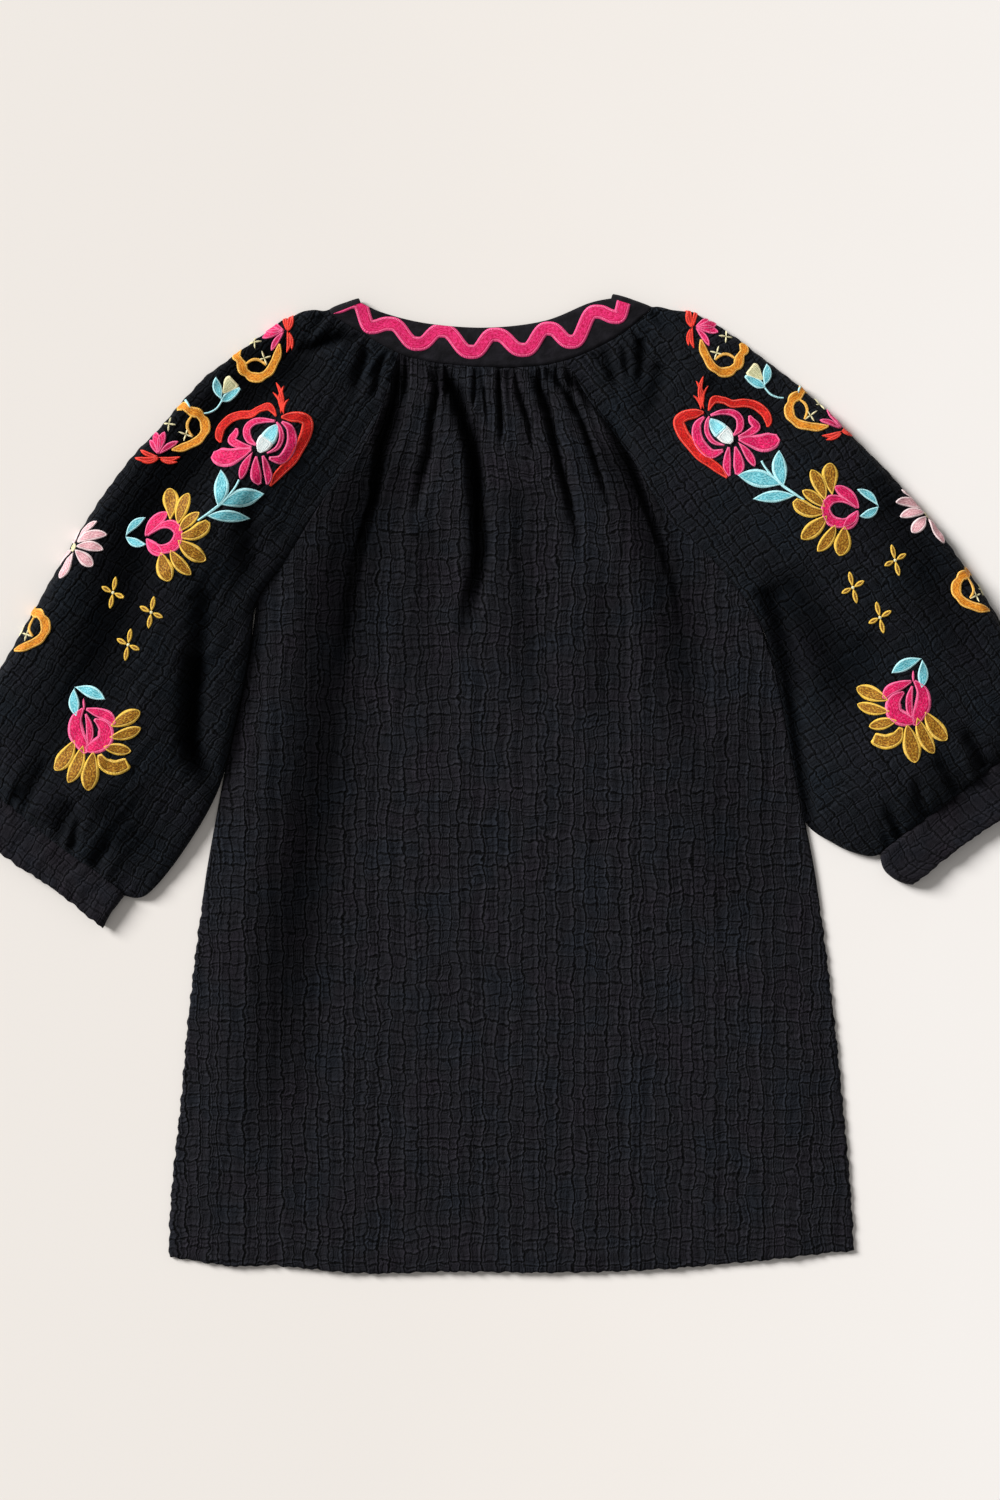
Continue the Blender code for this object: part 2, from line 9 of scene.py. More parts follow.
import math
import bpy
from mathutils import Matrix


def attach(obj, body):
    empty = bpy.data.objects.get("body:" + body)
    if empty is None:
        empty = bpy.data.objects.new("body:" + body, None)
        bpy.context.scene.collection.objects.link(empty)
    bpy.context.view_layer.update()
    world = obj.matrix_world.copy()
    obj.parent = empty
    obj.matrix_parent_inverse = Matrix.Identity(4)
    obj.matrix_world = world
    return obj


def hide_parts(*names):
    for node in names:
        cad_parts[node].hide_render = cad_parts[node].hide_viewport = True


bl_info = {
    "name": "Puff Sleeve Blouse",
    "version": (1, 0, 0),
    "blender": (4, 5, 0),
    "location": "3D View > Sidebar > Blouse",
    "description": "Builds an embroidered puff sleeve blouse laid flat, piece by piece",
    "category": "Object",
}

from collections import namedtuple

import bpy
import numpy as np
from bpy.props import FloatProperty, FloatVectorProperty, PointerProperty
from mathutils import Vector
from mathutils.bvhtree import BVHTree

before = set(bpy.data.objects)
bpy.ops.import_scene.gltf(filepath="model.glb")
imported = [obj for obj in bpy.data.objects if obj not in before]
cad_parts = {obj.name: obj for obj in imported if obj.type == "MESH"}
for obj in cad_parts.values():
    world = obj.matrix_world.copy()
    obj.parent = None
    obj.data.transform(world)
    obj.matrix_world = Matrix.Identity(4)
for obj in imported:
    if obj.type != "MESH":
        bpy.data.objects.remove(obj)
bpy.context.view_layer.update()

PLAN_MIDDLE = (-2.5, 366.974)
MM = 0.001

SEAM_GAP = 0.45
LOWEST_BACK = 3.3
BODY_PLATEAU = 6.2
NECK_PLATEAU = 13.0
NECK_PLATEAU_FROM = 470.0
NECK_PLATEAU_TO = 640.0
EDGE_SOFTNESS = 26.0
SIDE_GAP = 0.6
FREE_SIDE_TOP = 285.0
SLEEVE_EDGE_Z = 4.0
SLEEVE_EDGE_RADIUS = 11.0
SLEEVE_UNDER_RADIUS = 4.0
SLEEVE_EDGE_SHARE = 0.62
SLEEVE_INNER_SHARE = 0.42
CUFF_GAP = 0.8
CUFF_HEIGHT = 10.5
CUFF_EDGE_RADIUS = 6.0
FRONT_SEAM_DROP = 156.0
FRONT_TOP_DROP = 137.0
FRONT_RAGLAN_AT = 0.17
ARMPIT_ROW = 6.0
RAGLAN_STEP = ARMPIT_ROW / 9
RAGLAN_TOP_AT = {"left": 1.82, "right": 4.18}
SLEEVE_AXIS_DEGREES = {"left": 36.0, "right": -36.0}
BOTH_SIDES = ("left", "right")

# The body's side edges at some heights above the hem.
SideRow = namedtuple("SideRow", "y left right")
SIDES = (
    SideRow(10, -255.0, 255.5),
    SideRow(55, -253.5, 253.5),
    SideRow(130, -246.0, 247.0),
    SideRow(205, -239.0, 239.0),
    SideRow(300, -227.0, 226.5),
    SideRow(380, -212.5, 211.0),
    SideRow(450, -197.5, 198.0),
    SideRow(505, -189.5, 181.5),
)

# The hem's lower edge, which bows down between its corners.
HemRow = namedtuple("HemRow", "across y")
HEM = (
    HemRow(0.00, 12.0),
    HemRow(0.09, 5.8),
    HemRow(0.15, 6.2),
    HemRow(0.22, 2.8),
    HemRow(0.29, 0.2),
    HemRow(0.41, 1.7),
    HemRow(0.55, 1.0),
    HemRow(0.70, 3.0),
    HemRow(0.87, 10.0),
    HemRow(1.00, 17.0),
)

# The neck band across the back, from the left shoulder's fold to the right one.
NeckRow = namedtuple("NeckRow", "top_x top_y seam_x seam_y height")
NECK = (
    NeckRow(-112.6, 726.3, -134.6, 717.8, 9.0),
    NeckRow(-94.0, 718.5, -114.0, 706.0, 7.6),
    NeckRow(-62.0, 711.0, -76.0, 686.5, 6.4),
    NeckRow(-18.0, 708.0, -20.0, 679.0, 6.0),
    NeckRow(25.0, 713.0, 33.0, 682.0, 6.0),
    NeckRow(58.0, 726.0, 76.0, 699.5, 6.8),
    NeckRow(75.2, 729.7, 103.7, 720.2, 8.4),
)

# Sections of each sleeve from the neck to the cuff: the shoulder fold, then the raglan
# seam as far as the armpit and the underarm edge below it, the height of the puff, and
# how high the back lies beside the seam.
SleeveRow = namedtuple("SleeveRow", "outer_x outer_y inner_x inner_y puff seam_z")
SLEEVES = {
    "left": (
        SleeveRow(-138.0, 722.0, -82.5, 684.0, 9.5, 7.0),
        SleeveRow(-163.5, 717.0, -91.0, 662.0, 13.5, 8.6),
        SleeveRow(-196.0, 696.0, -101.5, 637.0, 17.5, 9.6),
        SleeveRow(-230.0, 670.5, -121.0, 608.0, 21.0, 9.6),
        SleeveRow(-261.0, 636.0, -145.0, 573.0, 24.0, 8.4),
        SleeveRow(-291.0, 603.0, -168.5, 535.0, 26.0, 6.4),
        SleeveRow(-316.5, 566.0, -190.0, 503.0, 27.0, 4.0),
        SleeveRow(-340.0, 528.0, -195.5, 462.0, 27.5, 4.0),
        SleeveRow(-362.0, 489.0, -206.0, 414.0, 27.5, 4.0),
        SleeveRow(-384.0, 449.0, -219.0, 363.0, 27.0, 4.0),
        SleeveRow(-404.0, 415.0, -244.0, 318.5, 25.0, 4.0),
        SleeveRow(-412.0, 388.0, -272.0, 284.5, 18.0, 4.0),
        SleeveRow(-402.0, 370.0, -289.5, 283.0, 10.5, 4.0),
    ),
    "right": (
        SleeveRow(107.0, 724.0, 41.5, 684.0, 9.5, 7.0),
        SleeveRow(137.0, 719.0, 57.0, 657.0, 13.5, 8.6),
        SleeveRow(172.0, 698.0, 74.0, 634.0, 17.5, 9.6),
        SleeveRow(211.0, 667.5, 95.0, 604.0, 21.0, 9.6),
        SleeveRow(249.0, 634.0, 118.5, 565.0, 24.0, 8.4),
        SleeveRow(285.0, 597.0, 152.0, 534.0, 26.0, 6.4),
        SleeveRow(318.0, 558.0, 184.5, 491.0, 27.0, 4.0),
        SleeveRow(344.0, 523.0, 195.0, 459.0, 27.5, 4.0),
        SleeveRow(367.0, 488.5, 206.5, 406.0, 27.5, 4.0),
        SleeveRow(386.0, 451.0, 217.0, 344.0, 27.0, 4.0),
        SleeveRow(397.5, 430.0, 243.0, 321.5, 25.0, 4.0),
        SleeveRow(399.0, 416.0, 266.0, 313.0, 18.0, 4.0),
        SleeveRow(388.5, 401.0, 276.0, 314.0, 10.5, 4.0),
    ),
}

# Each cuff's free edge, from its underarm end to its outer end.
CuffRow = namedtuple("CuffRow", "inner_x inner_y outer_x outer_y height bulge")
CUFF_EDGES = {
    "left": CuffRow(-304.5, 260.5, -420.5, 344.5, 9.5, -1.2),
    "right": CuffRow(299.0, 291.5, 415.5, 378.5, 9.5, 6.2),
}

# Soft troughs between the ridges of the cloth, where it is gathered or has slumped. They
# fade in from their first point and out towards their last. Their depth also sets the painted shade in them.
Fold = namedtuple("Fold", "width depth points")
BACK_FOLDS = (
    Fold(5.6, 9.4, ((-80.3, 682.0), (-83.0, 661.0), (-88.0, 641.0), (-95.3, 617.0), (-101.5, 580.0),
                    (-112.5, 542.0), (-121.0, 505.0), (-126.0, 467.0), (-128.0, 430.0))),
    Fold(24.0, 4.4, ((-104.0, 602.0), (-124.5, 530.0), (-138.0, 467.0), (-147.5, 388.5), (-164.0, 294.0),
                     (-180.0, 175.0))),
    Fold(4.4, 5.0, ((-60.0, 678.8), (-54.5, 662.0), (-59.0, 640.0), (-60.5, 617.0), (-66.0, 597.0),
                    (-71.0, 575.0), (-74.0, 550.0))),
    Fold(5.8, 10.4, ((-52.5, 674.0), (-41.3, 660.8), (-36.0, 646.5), (-28.5, 621.8), (-24.8, 597.0),
                     (-23.5, 575.0), (-21.5, 545.0), (-24.0, 522.0), (-29.0, 505.0), (-39.0, 462.0))),
    Fold(1.9, 4.2, ((-26.3, 677.3), (-27.8, 657.8), (-29.3, 638.0))),
    Fold(1.7, 3.2, ((-20.3, 675.0), (-18.8, 649.5), (-17.0, 632.0))),
    Fold(2.4, 5.4, ((-6.8, 677.3), (-8.3, 657.8), (-6.8, 636.0), (-5.3, 612.0))),
    Fold(2.5, 4.6, ((1.5, 677.3), (7.5, 654.8), (14.3, 636.0), (17.3, 604.0))),
    Fold(15.0, 2.4, ((8.0, 590.0), (12.0, 500.0), (18.0, 390.0))),
    Fold(3.6, 7.0, ((15.8, 674.3), (25.5, 654.8), (30.8, 636.0), (36.8, 608.3), (44.0, 582.8),
                    (49.3, 558.0), (52.3, 524.8))),
    Fold(2.8, 6.0, ((27.8, 677.3), (36.8, 666.0), (45.0, 654.8), (53.0, 640.0), (61.0, 617.0),
                    (73.0, 580.0), (79.0, 555.0))),
    Fold(4.8, 8.2, ((42.0, 674.3), (60.0, 657.8), (75.0, 640.0), (87.0, 617.0), (100.5, 580.0),
                    (115.0, 542.0), (125.0, 505.0), (129.0, 460.0))),
    Fold(20.0, 2.6, ((98.0, 586.0), (118.0, 514.5), (130.0, 436.0), (133.5, 362.0))),
    Fold(16.0, 1.8, ((70.0, 520.0), (74.0, 450.0), (72.0, 380.0))),
    Fold(34.0, 1.4, ((150.0, 400.0), (163.0, 315.0), (176.0, 230.0))),
    Fold(14.0, 1.8, ((-60.0, 560.0), (-66.0, 480.0), (-70.0, 400.0))),
)
SLEEVE_FOLDS = {
    "left": (
        Fold(6.0, 7.0, ((-118.0, 703.0), (-136.0, 698.0), (-172.0, 683.0))),
        Fold(4.0, 4.2, ((-108.0, 692.0), (-112.0, 678.0), (-118.0, 655.0))),
        Fold(3.4, 4.0, ((-96.0, 684.0), (-99.0, 674.0), (-104.0, 650.0))),
        Fold(21.0, 5.4, ((-154.5, 696.0), (-202.0, 657.0), (-241.5, 610.0), (-280.5, 554.0),
                         (-304.5, 491.0), (-343.5, 420.0), (-352.0, 380.0))),
        Fold(8.0, 4.4, ((-226.0, 514.0), (-231.0, 480.0), (-234.5, 450.0), (-236.0, 420.0), (-237.0, 398.0),
                        (-228.0, 376.0), (-213.0, 352.0), (-200.0, 335.0))),
        Fold(8.4, 8.8, ((-233.0, 466.0), (-236.0, 430.0), (-238.0, 400.0), (-234.0, 385.0), (-226.0, 371.0),
                        (-213.0, 348.0))),
        Fold(9.0, 3.6, ((-190.0, 580.0), (-198.0, 554.0), (-194.0, 507.0))),
        Fold(8.0, 5.0, ((-366.0, 352.0), (-356.0, 368.0), (-338.0, 396.0))),
        Fold(5.0, 4.6, ((-386.0, 370.0), (-385.0, 384.0), (-379.0, 406.0))),
        Fold(9.0, 4.6, ((-340.0, 332.0), (-332.0, 346.0), (-316.0, 352.0))),
        Fold(5.0, 3.6, ((-313.0, 305.0), (-306.0, 315.0), (-292.0, 330.0))),
        Fold(4.0, 3.2, ((-327.0, 318.0), (-325.0, 332.0), (-320.0, 350.0))),
    ),
    "right": (
        Fold(4.0, 4.6, ((68.0, 692.0), (74.0, 680.0), (82.0, 656.0))),
        Fold(4.6, 5.4, ((98.0, 700.0), (98.0, 682.0), (96.0, 656.0))),
        Fold(3.4, 4.0, ((84.0, 694.0), (86.0, 682.0), (89.0, 664.0))),
        Fold(7.0, 3.6, ((112.0, 680.0), (108.0, 656.0), (104.0, 632.0))),
        Fold(15.0, 3.0, ((146.0, 668.0), (180.0, 644.0), (214.0, 620.0))),
        Fold(10.5, 7.2, ((194.0, 516.0), (199.0, 492.0), (204.0, 466.0), (209.0, 440.0), (214.0, 405.0))),
        Fold(5.6, 7.4, ((203.0, 470.0), (208.0, 440.0), (213.0, 405.0), (222.0, 341.0), (232.0, 305.0),
                        (240.0, 262.0))),
        Fold(16.0, 3.8, ((286.0, 580.0), (311.0, 530.0), (335.0, 483.0))),
        Fold(18.0, 3.2, ((262.0, 480.0), (256.0, 440.0), (250.0, 400.0))),
        Fold(5.0, 5.4, ((354.0, 378.0), (348.0, 392.0), (334.0, 414.0))),
        Fold(5.0, 4.4, ((311.0, 342.0), (305.0, 353.0), (300.0, 376.0))),
        Fold(7.0, 4.0, ((333.0, 360.0), (326.0, 374.0), (311.0, 392.0))),
        Fold(6.0, 4.8, ((377.0, 394.0), (374.0, 408.0), (371.0, 428.0))),
        Fold(4.0, 3.6, ((290.0, 327.0), (287.0, 336.0), (276.0, 354.0))),
    ),
}
# Broad bands of painted shade between the cloth's ridges: they shape no relief, and their depths only set how
# dark the shade is painted.
BACK_PAINTED_SHADE_BANDS = (
    Fold(26.0, 5.9, ((-92.0, 630.0), (-122.0, 530.0), (-134.0, 467.0), (-141.0, 388.5), (-156.0, 300.0),
                     (-172.0, 195.0), (-186.0, 90.0), (-192.0, 20.0))),
    Fold(17.0, 4.4, ((70.0, 625.0), (100.0, 580.0), (121.0, 514.5), (130.0, 436.0), (133.5, 350.0))),
    Fold(9.5, 9.2, ((-84.0, 655.0), (-88.0, 641.0), (-95.3, 617.0), (-101.5, 580.0), (-112.5, 542.0),
                    (-121.0, 505.0), (-126.0, 467.0), (-128.0, 430.0), (-132.0, 370.0))),
    Fold(6.6, 10.8, ((-36.0, 646.5), (-28.5, 621.8), (-24.8, 597.0), (-23.5, 575.0), (-21.5, 545.0),
                     (-24.0, 522.0), (-29.0, 505.0), (-39.0, 455.0))),
    Fold(6.4, 6.6, ((86.0, 620.0), (100.5, 580.0), (115.0, 542.0), (125.0, 505.0), (129.0, 460.0),
                    (131.0, 415.0))),
)
SLEEVE_PAINTED_SHADE_BANDS = {
    "left": (
        Fold(25.0, 8.0, ((-150.0, 700.0), (-202.0, 657.0), (-241.5, 610.0), (-278.0, 554.0),
                         (-298.0, 491.0), (-320.0, 440.0), (-345.0, 400.0), (-352.0, 350.0),
                         (-356.0, 310.0))),
        Fold(9.0, 4.2, ((-190.0, 590.0), (-196.0, 552.0), (-194.0, 507.0))),
        Fold(20.0, 3.6, ((-300.0, 360.0), (-290.0, 330.0), (-282.0, 300.0))),
    ),
    "right": (
        Fold(20.0, 4.8, ((198.0, 525.0), (222.0, 490.0), (246.0, 440.0), (252.0, 390.0))),
        Fold(20.0, 3.6, ((270.0, 600.0), (311.0, 530.0), (335.0, 483.0), (345.0, 440.0))),
        Fold(14.0, 3.0, ((96.0, 690.0), (104.0, 650.0), (112.0, 620.0))),
    ),
}
# How deep a fold must be for its painted shade to be darkest, and how far the painted shade is moved onto the
# fold's wall that faces away from the window.
PAINTED_SHADE_DEPTH = 9.0
PAINTED_SHADE_LEAN = 1.4

# How finely the sheets are modelled.
BACK_COLUMNS = 236
BACK_BODY_ROWS = 232
BACK_RAGLAN_ROWS = 108
SLEEVE_RINGS = 210
SLEEVE_TOP_STEPS = 88
CUFF_RINGS = 16

# The ends, crests and troughs of the satin wave's middle line on the neck band.
WAVE = (
    (-132.5, 723.5), (-115.5, 727.3), (-104.5, 708.5), (-91.0, 711.0), (-69.5, 696.0), (-51.8, 706.0),
    (-29.0, 690.0), (-12.0, 703.0), (9.5, 691.5), (28.0, 707.5), (45.5, 697.5), (63.6, 720.0),
    (79.5, 716.0), (88.5, 735.5),
)
WAVE_HALF_WIDTH = 5.3

# Petals of the embroidery: from base to tip, how wide, how far along it is widest, and
# how it bends. Strips follow a line of points with a half width at each.
Petal = namedtuple("Petal", "thread x0 y0 x1 y1 width widest bend")
Strip = namedtuple("Strip", "thread points")


def thin_cross(middle, tips):
    """Thin cream petals from a middle to some tips."""
    return tuple(Petal("cream", *middle, *tip, 1.4, 0.5, 0.0) for tip in tips)


CROWNED_FLOWER = (
    Petal("red", 12.4, 20.5, 7.6, 43.4, 3.2, 0.55, -0.10),
    Petal("red", 13.2, 20.0, 13.6, 40.8, 3.2, 0.5, 0.12),
    Petal("red", 11.6, 19.4, 5.2, 36.0, 2.2, 0.5, -0.14),
    Petal("red", 13.9, 19.0, 17.6, 30.5, 2.2, 0.5, 0.16),
    Strip("red", ((8.3, 17.3, 0.7), (3.0, 24.4, 3.0), (-4.5, 23.0, 2.7), (-10.5, 19.5, 3.0),
                  (-19.5, 18.6, 3.3), (-27.0, 15.6, 3.3), (-33.0, 9.0, 3.3), (-34.6, 2.3, 2.8),
                  (-33.3, -1.9, 0.9))),
    Strip("red", ((12.0, 16.6, 0.9), (18.8, 16.8, 3.6), (26.5, 16.4, 4.1), (31.4, 13.0, 4.3),
                  (30.0, 3.8, 4.3), (25.2, -6.0, 4.0), (20.0, -15.0, 3.7), (13.3, -22.0, 3.3),
                  (8.0, -28.0, 2.9), (3.6, -34.6, 0.8))),
    Strip("pink", ((-6.3, -4.5, 0.8), (-12.0, 0.0, 2.7), (-13.5, 7.5, 3.0), (-9.0, 12.8, 2.7),
                   (-1.5, 14.3, 2.1), (7.5, 13.5, 1.0))),
    Strip("pink", ((12.4, 13.2, 1.0), (18.6, 8.0, 3.0), (20.0, -1.5, 4.0), (17.0, -9.8, 4.2),
                   (11.6, -15.0, 3.6), (3.0, -14.0, 1.2))),
    Strip("pink", ((1.5, -10.4, 0.6), (9.0, -6.4, 1.7), (12.3, 1.2, 1.9), (11.2, 8.4, 1.6),
                   (8.6, 13.0, 0.7))),
    Strip("pink", ((-9.8, -6.0, 1.0), (-18.0, -4.5, 2.7), (-24.8, -0.8, 3.2), (-22.2, 4.5, 2.6),
                   (-21.3, 8.7, 0.9))),
    Strip("pink", ((-9.8, -7.8, 1.0), (-18.0, -10.5, 4.4), (-27.0, -13.5, 6.9), (-34.5, -12.8, 6.6),
                   (-39.6, -11.0, 2.6))),
    Petal("pink", -9.0, -9.8, -18.0, -30.0, 6.4, 0.62, -0.05),
    Strip("pink", ((-6.3, -12.8, 0.8), (-6.8, -21.0, 3.3), (-6.3, -28.5, 4.2), (-3.6, -33.6, 1.4))),
    Strip("pink", ((-1.5, -12.3, 1.0), (0.8, -19.5, 2.6), (2.4, -27.0, 3.0), (1.6, -33.6, 1.0))),
    Strip("pale_blue", ((8.9, 10.9, 1.0), (6.6, 7.2, 4.0), (4.0, 3.0, 5.6), (2.4, 0.4, 5.9),
                        (1.6, -1.0, 5.4))),
    Strip("white", ((1.9, 0.2, 5.7), (0.2, -2.0, 6.0), (-2.2, -6.0, 4.9), (-4.3, -9.7, 1.4))),
)
LEAF_SPRAY = (
    Strip("turquoise", ((6.5, 14.7, 0.8), (3.0, 8.3, 0.8), (-4.5, -0.8, 1.0), (-13.5, -8.3, 1.0),
                        (-24.0, -15.8, 0.7))),
    Petal("turquoise", -9.3, -4.8, -7.2, 22.4, 11.4, 0.5, -0.06),
    Petal("turquoise", -7.5, -3.8, 24.6, 4.7, 13.6, 0.52, 0.03),
    Petal("turquoise", -17.3, -12.3, 14.0, -13.6, 9.0, 0.5, 0.02),
)
GOLD_FLOWER = (
    Petal("gold", 4.6, 9.6, 3.4, 34.6, 12.4, 0.66, -0.03),
    Petal("gold", 10.4, 7.0, 18.4, 30.6, 10.4, 0.58, 0.05),
    Petal("gold", 11.3, 1.8, 26.6, 15.8, 8.6, 0.55, 0.05),
    Strip("gold", ((12.5, -1.8, 1.8), (22.0, -0.2, 4.9), (29.3, 4.5, 5.4), (33.0, 9.3, 2.2))),
    Petal("gold", 10.3, -4.6, 31.3, -19.8, 12.0, 0.58, -0.03),
    Petal("gold", 4.8, -11.8, 20.4, -30.4, 9.4, 0.56, -0.06),
    Petal("gold", -1.9, -13.4, 4.5, -35.4, 13.0, 0.6, -0.04),
    Petal("pink", -14.3, -1.5, 2.3, 16.5, 9.6, 0.55, 0.08),
    Strip("pink", ((-12.8, -0.8, 0.8), (-3.0, 6.0, 2.2), (6.0, 6.8, 3.8), (10.8, 0.5, 3.6),
                   (7.8, -8.3, 4.4), (-0.8, -11.3, 3.6), (-8.3, -9.3, 3.2), (-13.2, -3.5, 1.0))),
    Petal("pink", -13.5, -3.0, -0.5, -15.8, 9.0, 0.55, -0.06),
    Petal("turquoise", -29.3, -1.2, -14.3, 12.8, 6.2, 0.55, 0.1),
    Petal("turquoise", -29.3, -1.5, -13.8, -7.5, 6.6, 0.5, -0.1),
)
TULIP_FRAME = (
    Strip("orange", ((-5.7, 12.8, 1.4), (-2.6, 14.6, 3.4), (0.4, 15.0, 3.4), (3.2, 12.6, 2.7),
                     (6.8, 10.8, 3.8), (11.0, 9.6, 3.8), (13.4, 6.6, 2.9), (15.8, 3.2, 3.8),
                     (16.4, -2.2, 3.8), (14.6, -6.2, 3.0), (11.4, -10.2, 3.4), (5.3, -13.5, 3.1),
                     (-1.5, -16.2, 3.1), (-9.0, -17.4, 0.8))),
    Strip("orange", ((6.8, 8.3, 0.7), (3.3, 3.0, 1.1), (3.3, -2.3, 1.1), (6.8, -7.5, 0.8))),
    *thin_cross((-10.5, 1.5), ((-10.0, 7.0), (-5.6, 1.0), (-11.2, -4.0), (-15.6, 2.4))),
    *thin_cross((1.8, -6.0), ((3.6, -1.0), (6.8, -8.0), (0.2, -11.0), (-3.6, -4.2))),
    Petal("pink", -18.8, -20.7, -21.8, -3.8, 6.6, 0.6, -0.05),
    Petal("pink", -18.3, -20.7, -13.8, -4.1, 6.2, 0.6, 0.05),
    Petal("pink", -17.7, -20.7, -3.8, -11.3, 4.6, 0.55, 0.06),
    Petal("pink", -19.2, -20.7, -25.8, -9.8, 4.6, 0.55, -0.06),
    Petal("red", -18.0, -23.3, -37.5, -22.8, 3.8, 0.5, 0.1),
    Petal("red", -18.8, -22.8, -33.3, -16.8, 3.4, 0.5, 0.08),
    Petal("red", -18.3, -24.0, -30.8, -26.7, 3.0, 0.5, 0.1),
    Petal("red", -18.0, -23.3, -2.3, -22.8, 3.4, 0.5, -0.1),
    Petal("red", -17.3, -24.8, -4.5, -26.7, 3.0, 0.5, -0.08),
)
EDGE_FRAME = TULIP_FRAME[:10]
BUD = (
    Strip("cream", ((-2.6, -2.0, 0.8), (0.2, 0.6, 3.0), (2.6, 3.6, 5.2), (4.6, 6.0, 6.0), (6.2, 7.6, 4.8))),
    Petal("turquoise", -3.0, -6.8, -7.4, 10.0, 7.0, 0.52, 0.06),
    Strip("turquoise", ((-3.5, -7.8, 0.8), (0.8, -5.4, 3.4), (6.0, -1.6, 3.0), (10.6, 1.8, 1.0))),
    Strip("turquoise", ((-3.0, -7.8, 0.7), (-6.8, -13.5, 0.7), (-12.0, -16.5, 0.7), (-16.5, -17.3, 0.6))),
)
STEM_TIP = (Strip("turquoise", ((-2.2, 3.4, 0.9), (0.4, 0.0, 0.9), (2.2, -3.4, 0.7))),)
PALE_FLOWER = (
    Petal("pale_pink", 1.8, 4.2, 18.3, 18.8, 5.2, 0.55, 0.08),
    Petal("pale_pink", 2.9, 3.3, 25.5, 9.0, 7.8, 0.55, 0.1),
    Petal("pale_pink", 2.6, 0.0, 22.8, -2.3, 7.6, 0.55, 0.08),
    Petal("pale_pink", 1.5, -2.3, 15.0, -14.7, 9.4, 0.6, 0.0),
    Petal("pale_pink", -0.3, -4.2, -9.9, -23.7, 8.4, 0.6, 0.0),
    Petal("pale_pink", -1.5, 3.0, -9.8, 18.8, 7.4, 0.6, 0.0),
    Petal("pale_pink", -3.0, -0.8, -19.5, -8.3, 7.4, 0.6, 0.0),
    Petal("cream", -1.2, -3.2, -1.0, 3.4, 5.6, 0.5, 0.0),
)
SMALL_CROSS = (
    Petal("gold", 0.2, 1.0, 2.0, 12.0, 3.8, 0.55, 0.0),
    Petal("gold", 1.0, -0.4, 8.6, -3.8, 3.8, 0.55, 0.0),
    Petal("gold", -0.2, -1.0, -2.1, -11.8, 3.8, 0.55, 0.0),
    Petal("gold", -1.0, 0.4, -8.6, 4.6, 3.8, 0.55, 0.0),
    Petal("cream", -0.9, -1.0, 0.9, 1.0, 2.6, 0.5, 0.0),
)
ROUND_FLOWER = (
    Petal("gold", 13.6, 3.0, 36.0, 14.4, 11.4, 0.6, 0.0),
    Petal("gold", 13.0, -5.0, 36.4, 2.2, 9.0, 0.58, -0.05),
    Petal("gold", 8.4, -12.0, 29.2, -15.2, 9.0, 0.56, 0.0),
    Strip("gold", ((5.8, -17.5, 1.6), (9.6, -24.6, 5.0), (17.4, -27.4, 5.6), (25.6, -24.6, 4.6),
                   (27.0, -24.0, 2.4))),
    Petal("gold", 1.4, -15.0, -3.0, -44.5, 13.4, 0.6, 0.0),
    Petal("gold", -6.5, -10.5, -17.6, -38.5, 11.0, 0.58, 0.05),
    Petal("gold", -12.7, -6.5, -27.9, -29.3, 12.4, 0.6, 0.05),
    Strip("pink", ((-6.4, 16.6, 1.0), (-11.8, 8.2, 4.6), (-11.6, -1.8, 6.2), (-7.4, -9.8, 5.2),
                   (-4.5, -17.0, 1.6))),
    Strip("pink", ((-4.3, 16.2, 1.0), (4.4, 13.6, 3.6), (12.6, 10.4, 4.0), (17.2, 4.5, 1.4))),
    Strip("pink", ((1.8, 8.6, 1.0), (9.4, 2.6, 5.4), (9.8, -6.8, 6.2), (2.2, -11.8, 5.4),
                   (-5.0, -13.8, 1.8))),
    Strip("pink", ((-4.6, 12.6, 0.8), (-2.0, 4.0, 2.6), (-1.4, -4.6, 2.6), (-2.6, -11.0, 1.0))),
    Petal("pink", -6.2, 24.0, -5.6, 15.6, 2.0, 0.5, 0.0),
    Petal("turquoise", -13.4, 32.6, 10.0, 23.2, 9.0, 0.55, 0.05),
    Petal("turquoise", -13.6, 31.6, -11.4, 10.4, 8.2, 0.52, -0.05),
)
MOTIFS = {
    "crowned_flower": CROWNED_FLOWER,
    "leaf_spray": LEAF_SPRAY,
    "gold_flower": GOLD_FLOWER,
    "tulip_frame": TULIP_FRAME,
    "edge_frame": EDGE_FRAME,
    "bud": BUD,
    "stem_tip": STEM_TIP,
    "pale_flower": PALE_FLOWER,
    "small_cross": SMALL_CROSS,
    "round_flower": ROUND_FLOWER,
}

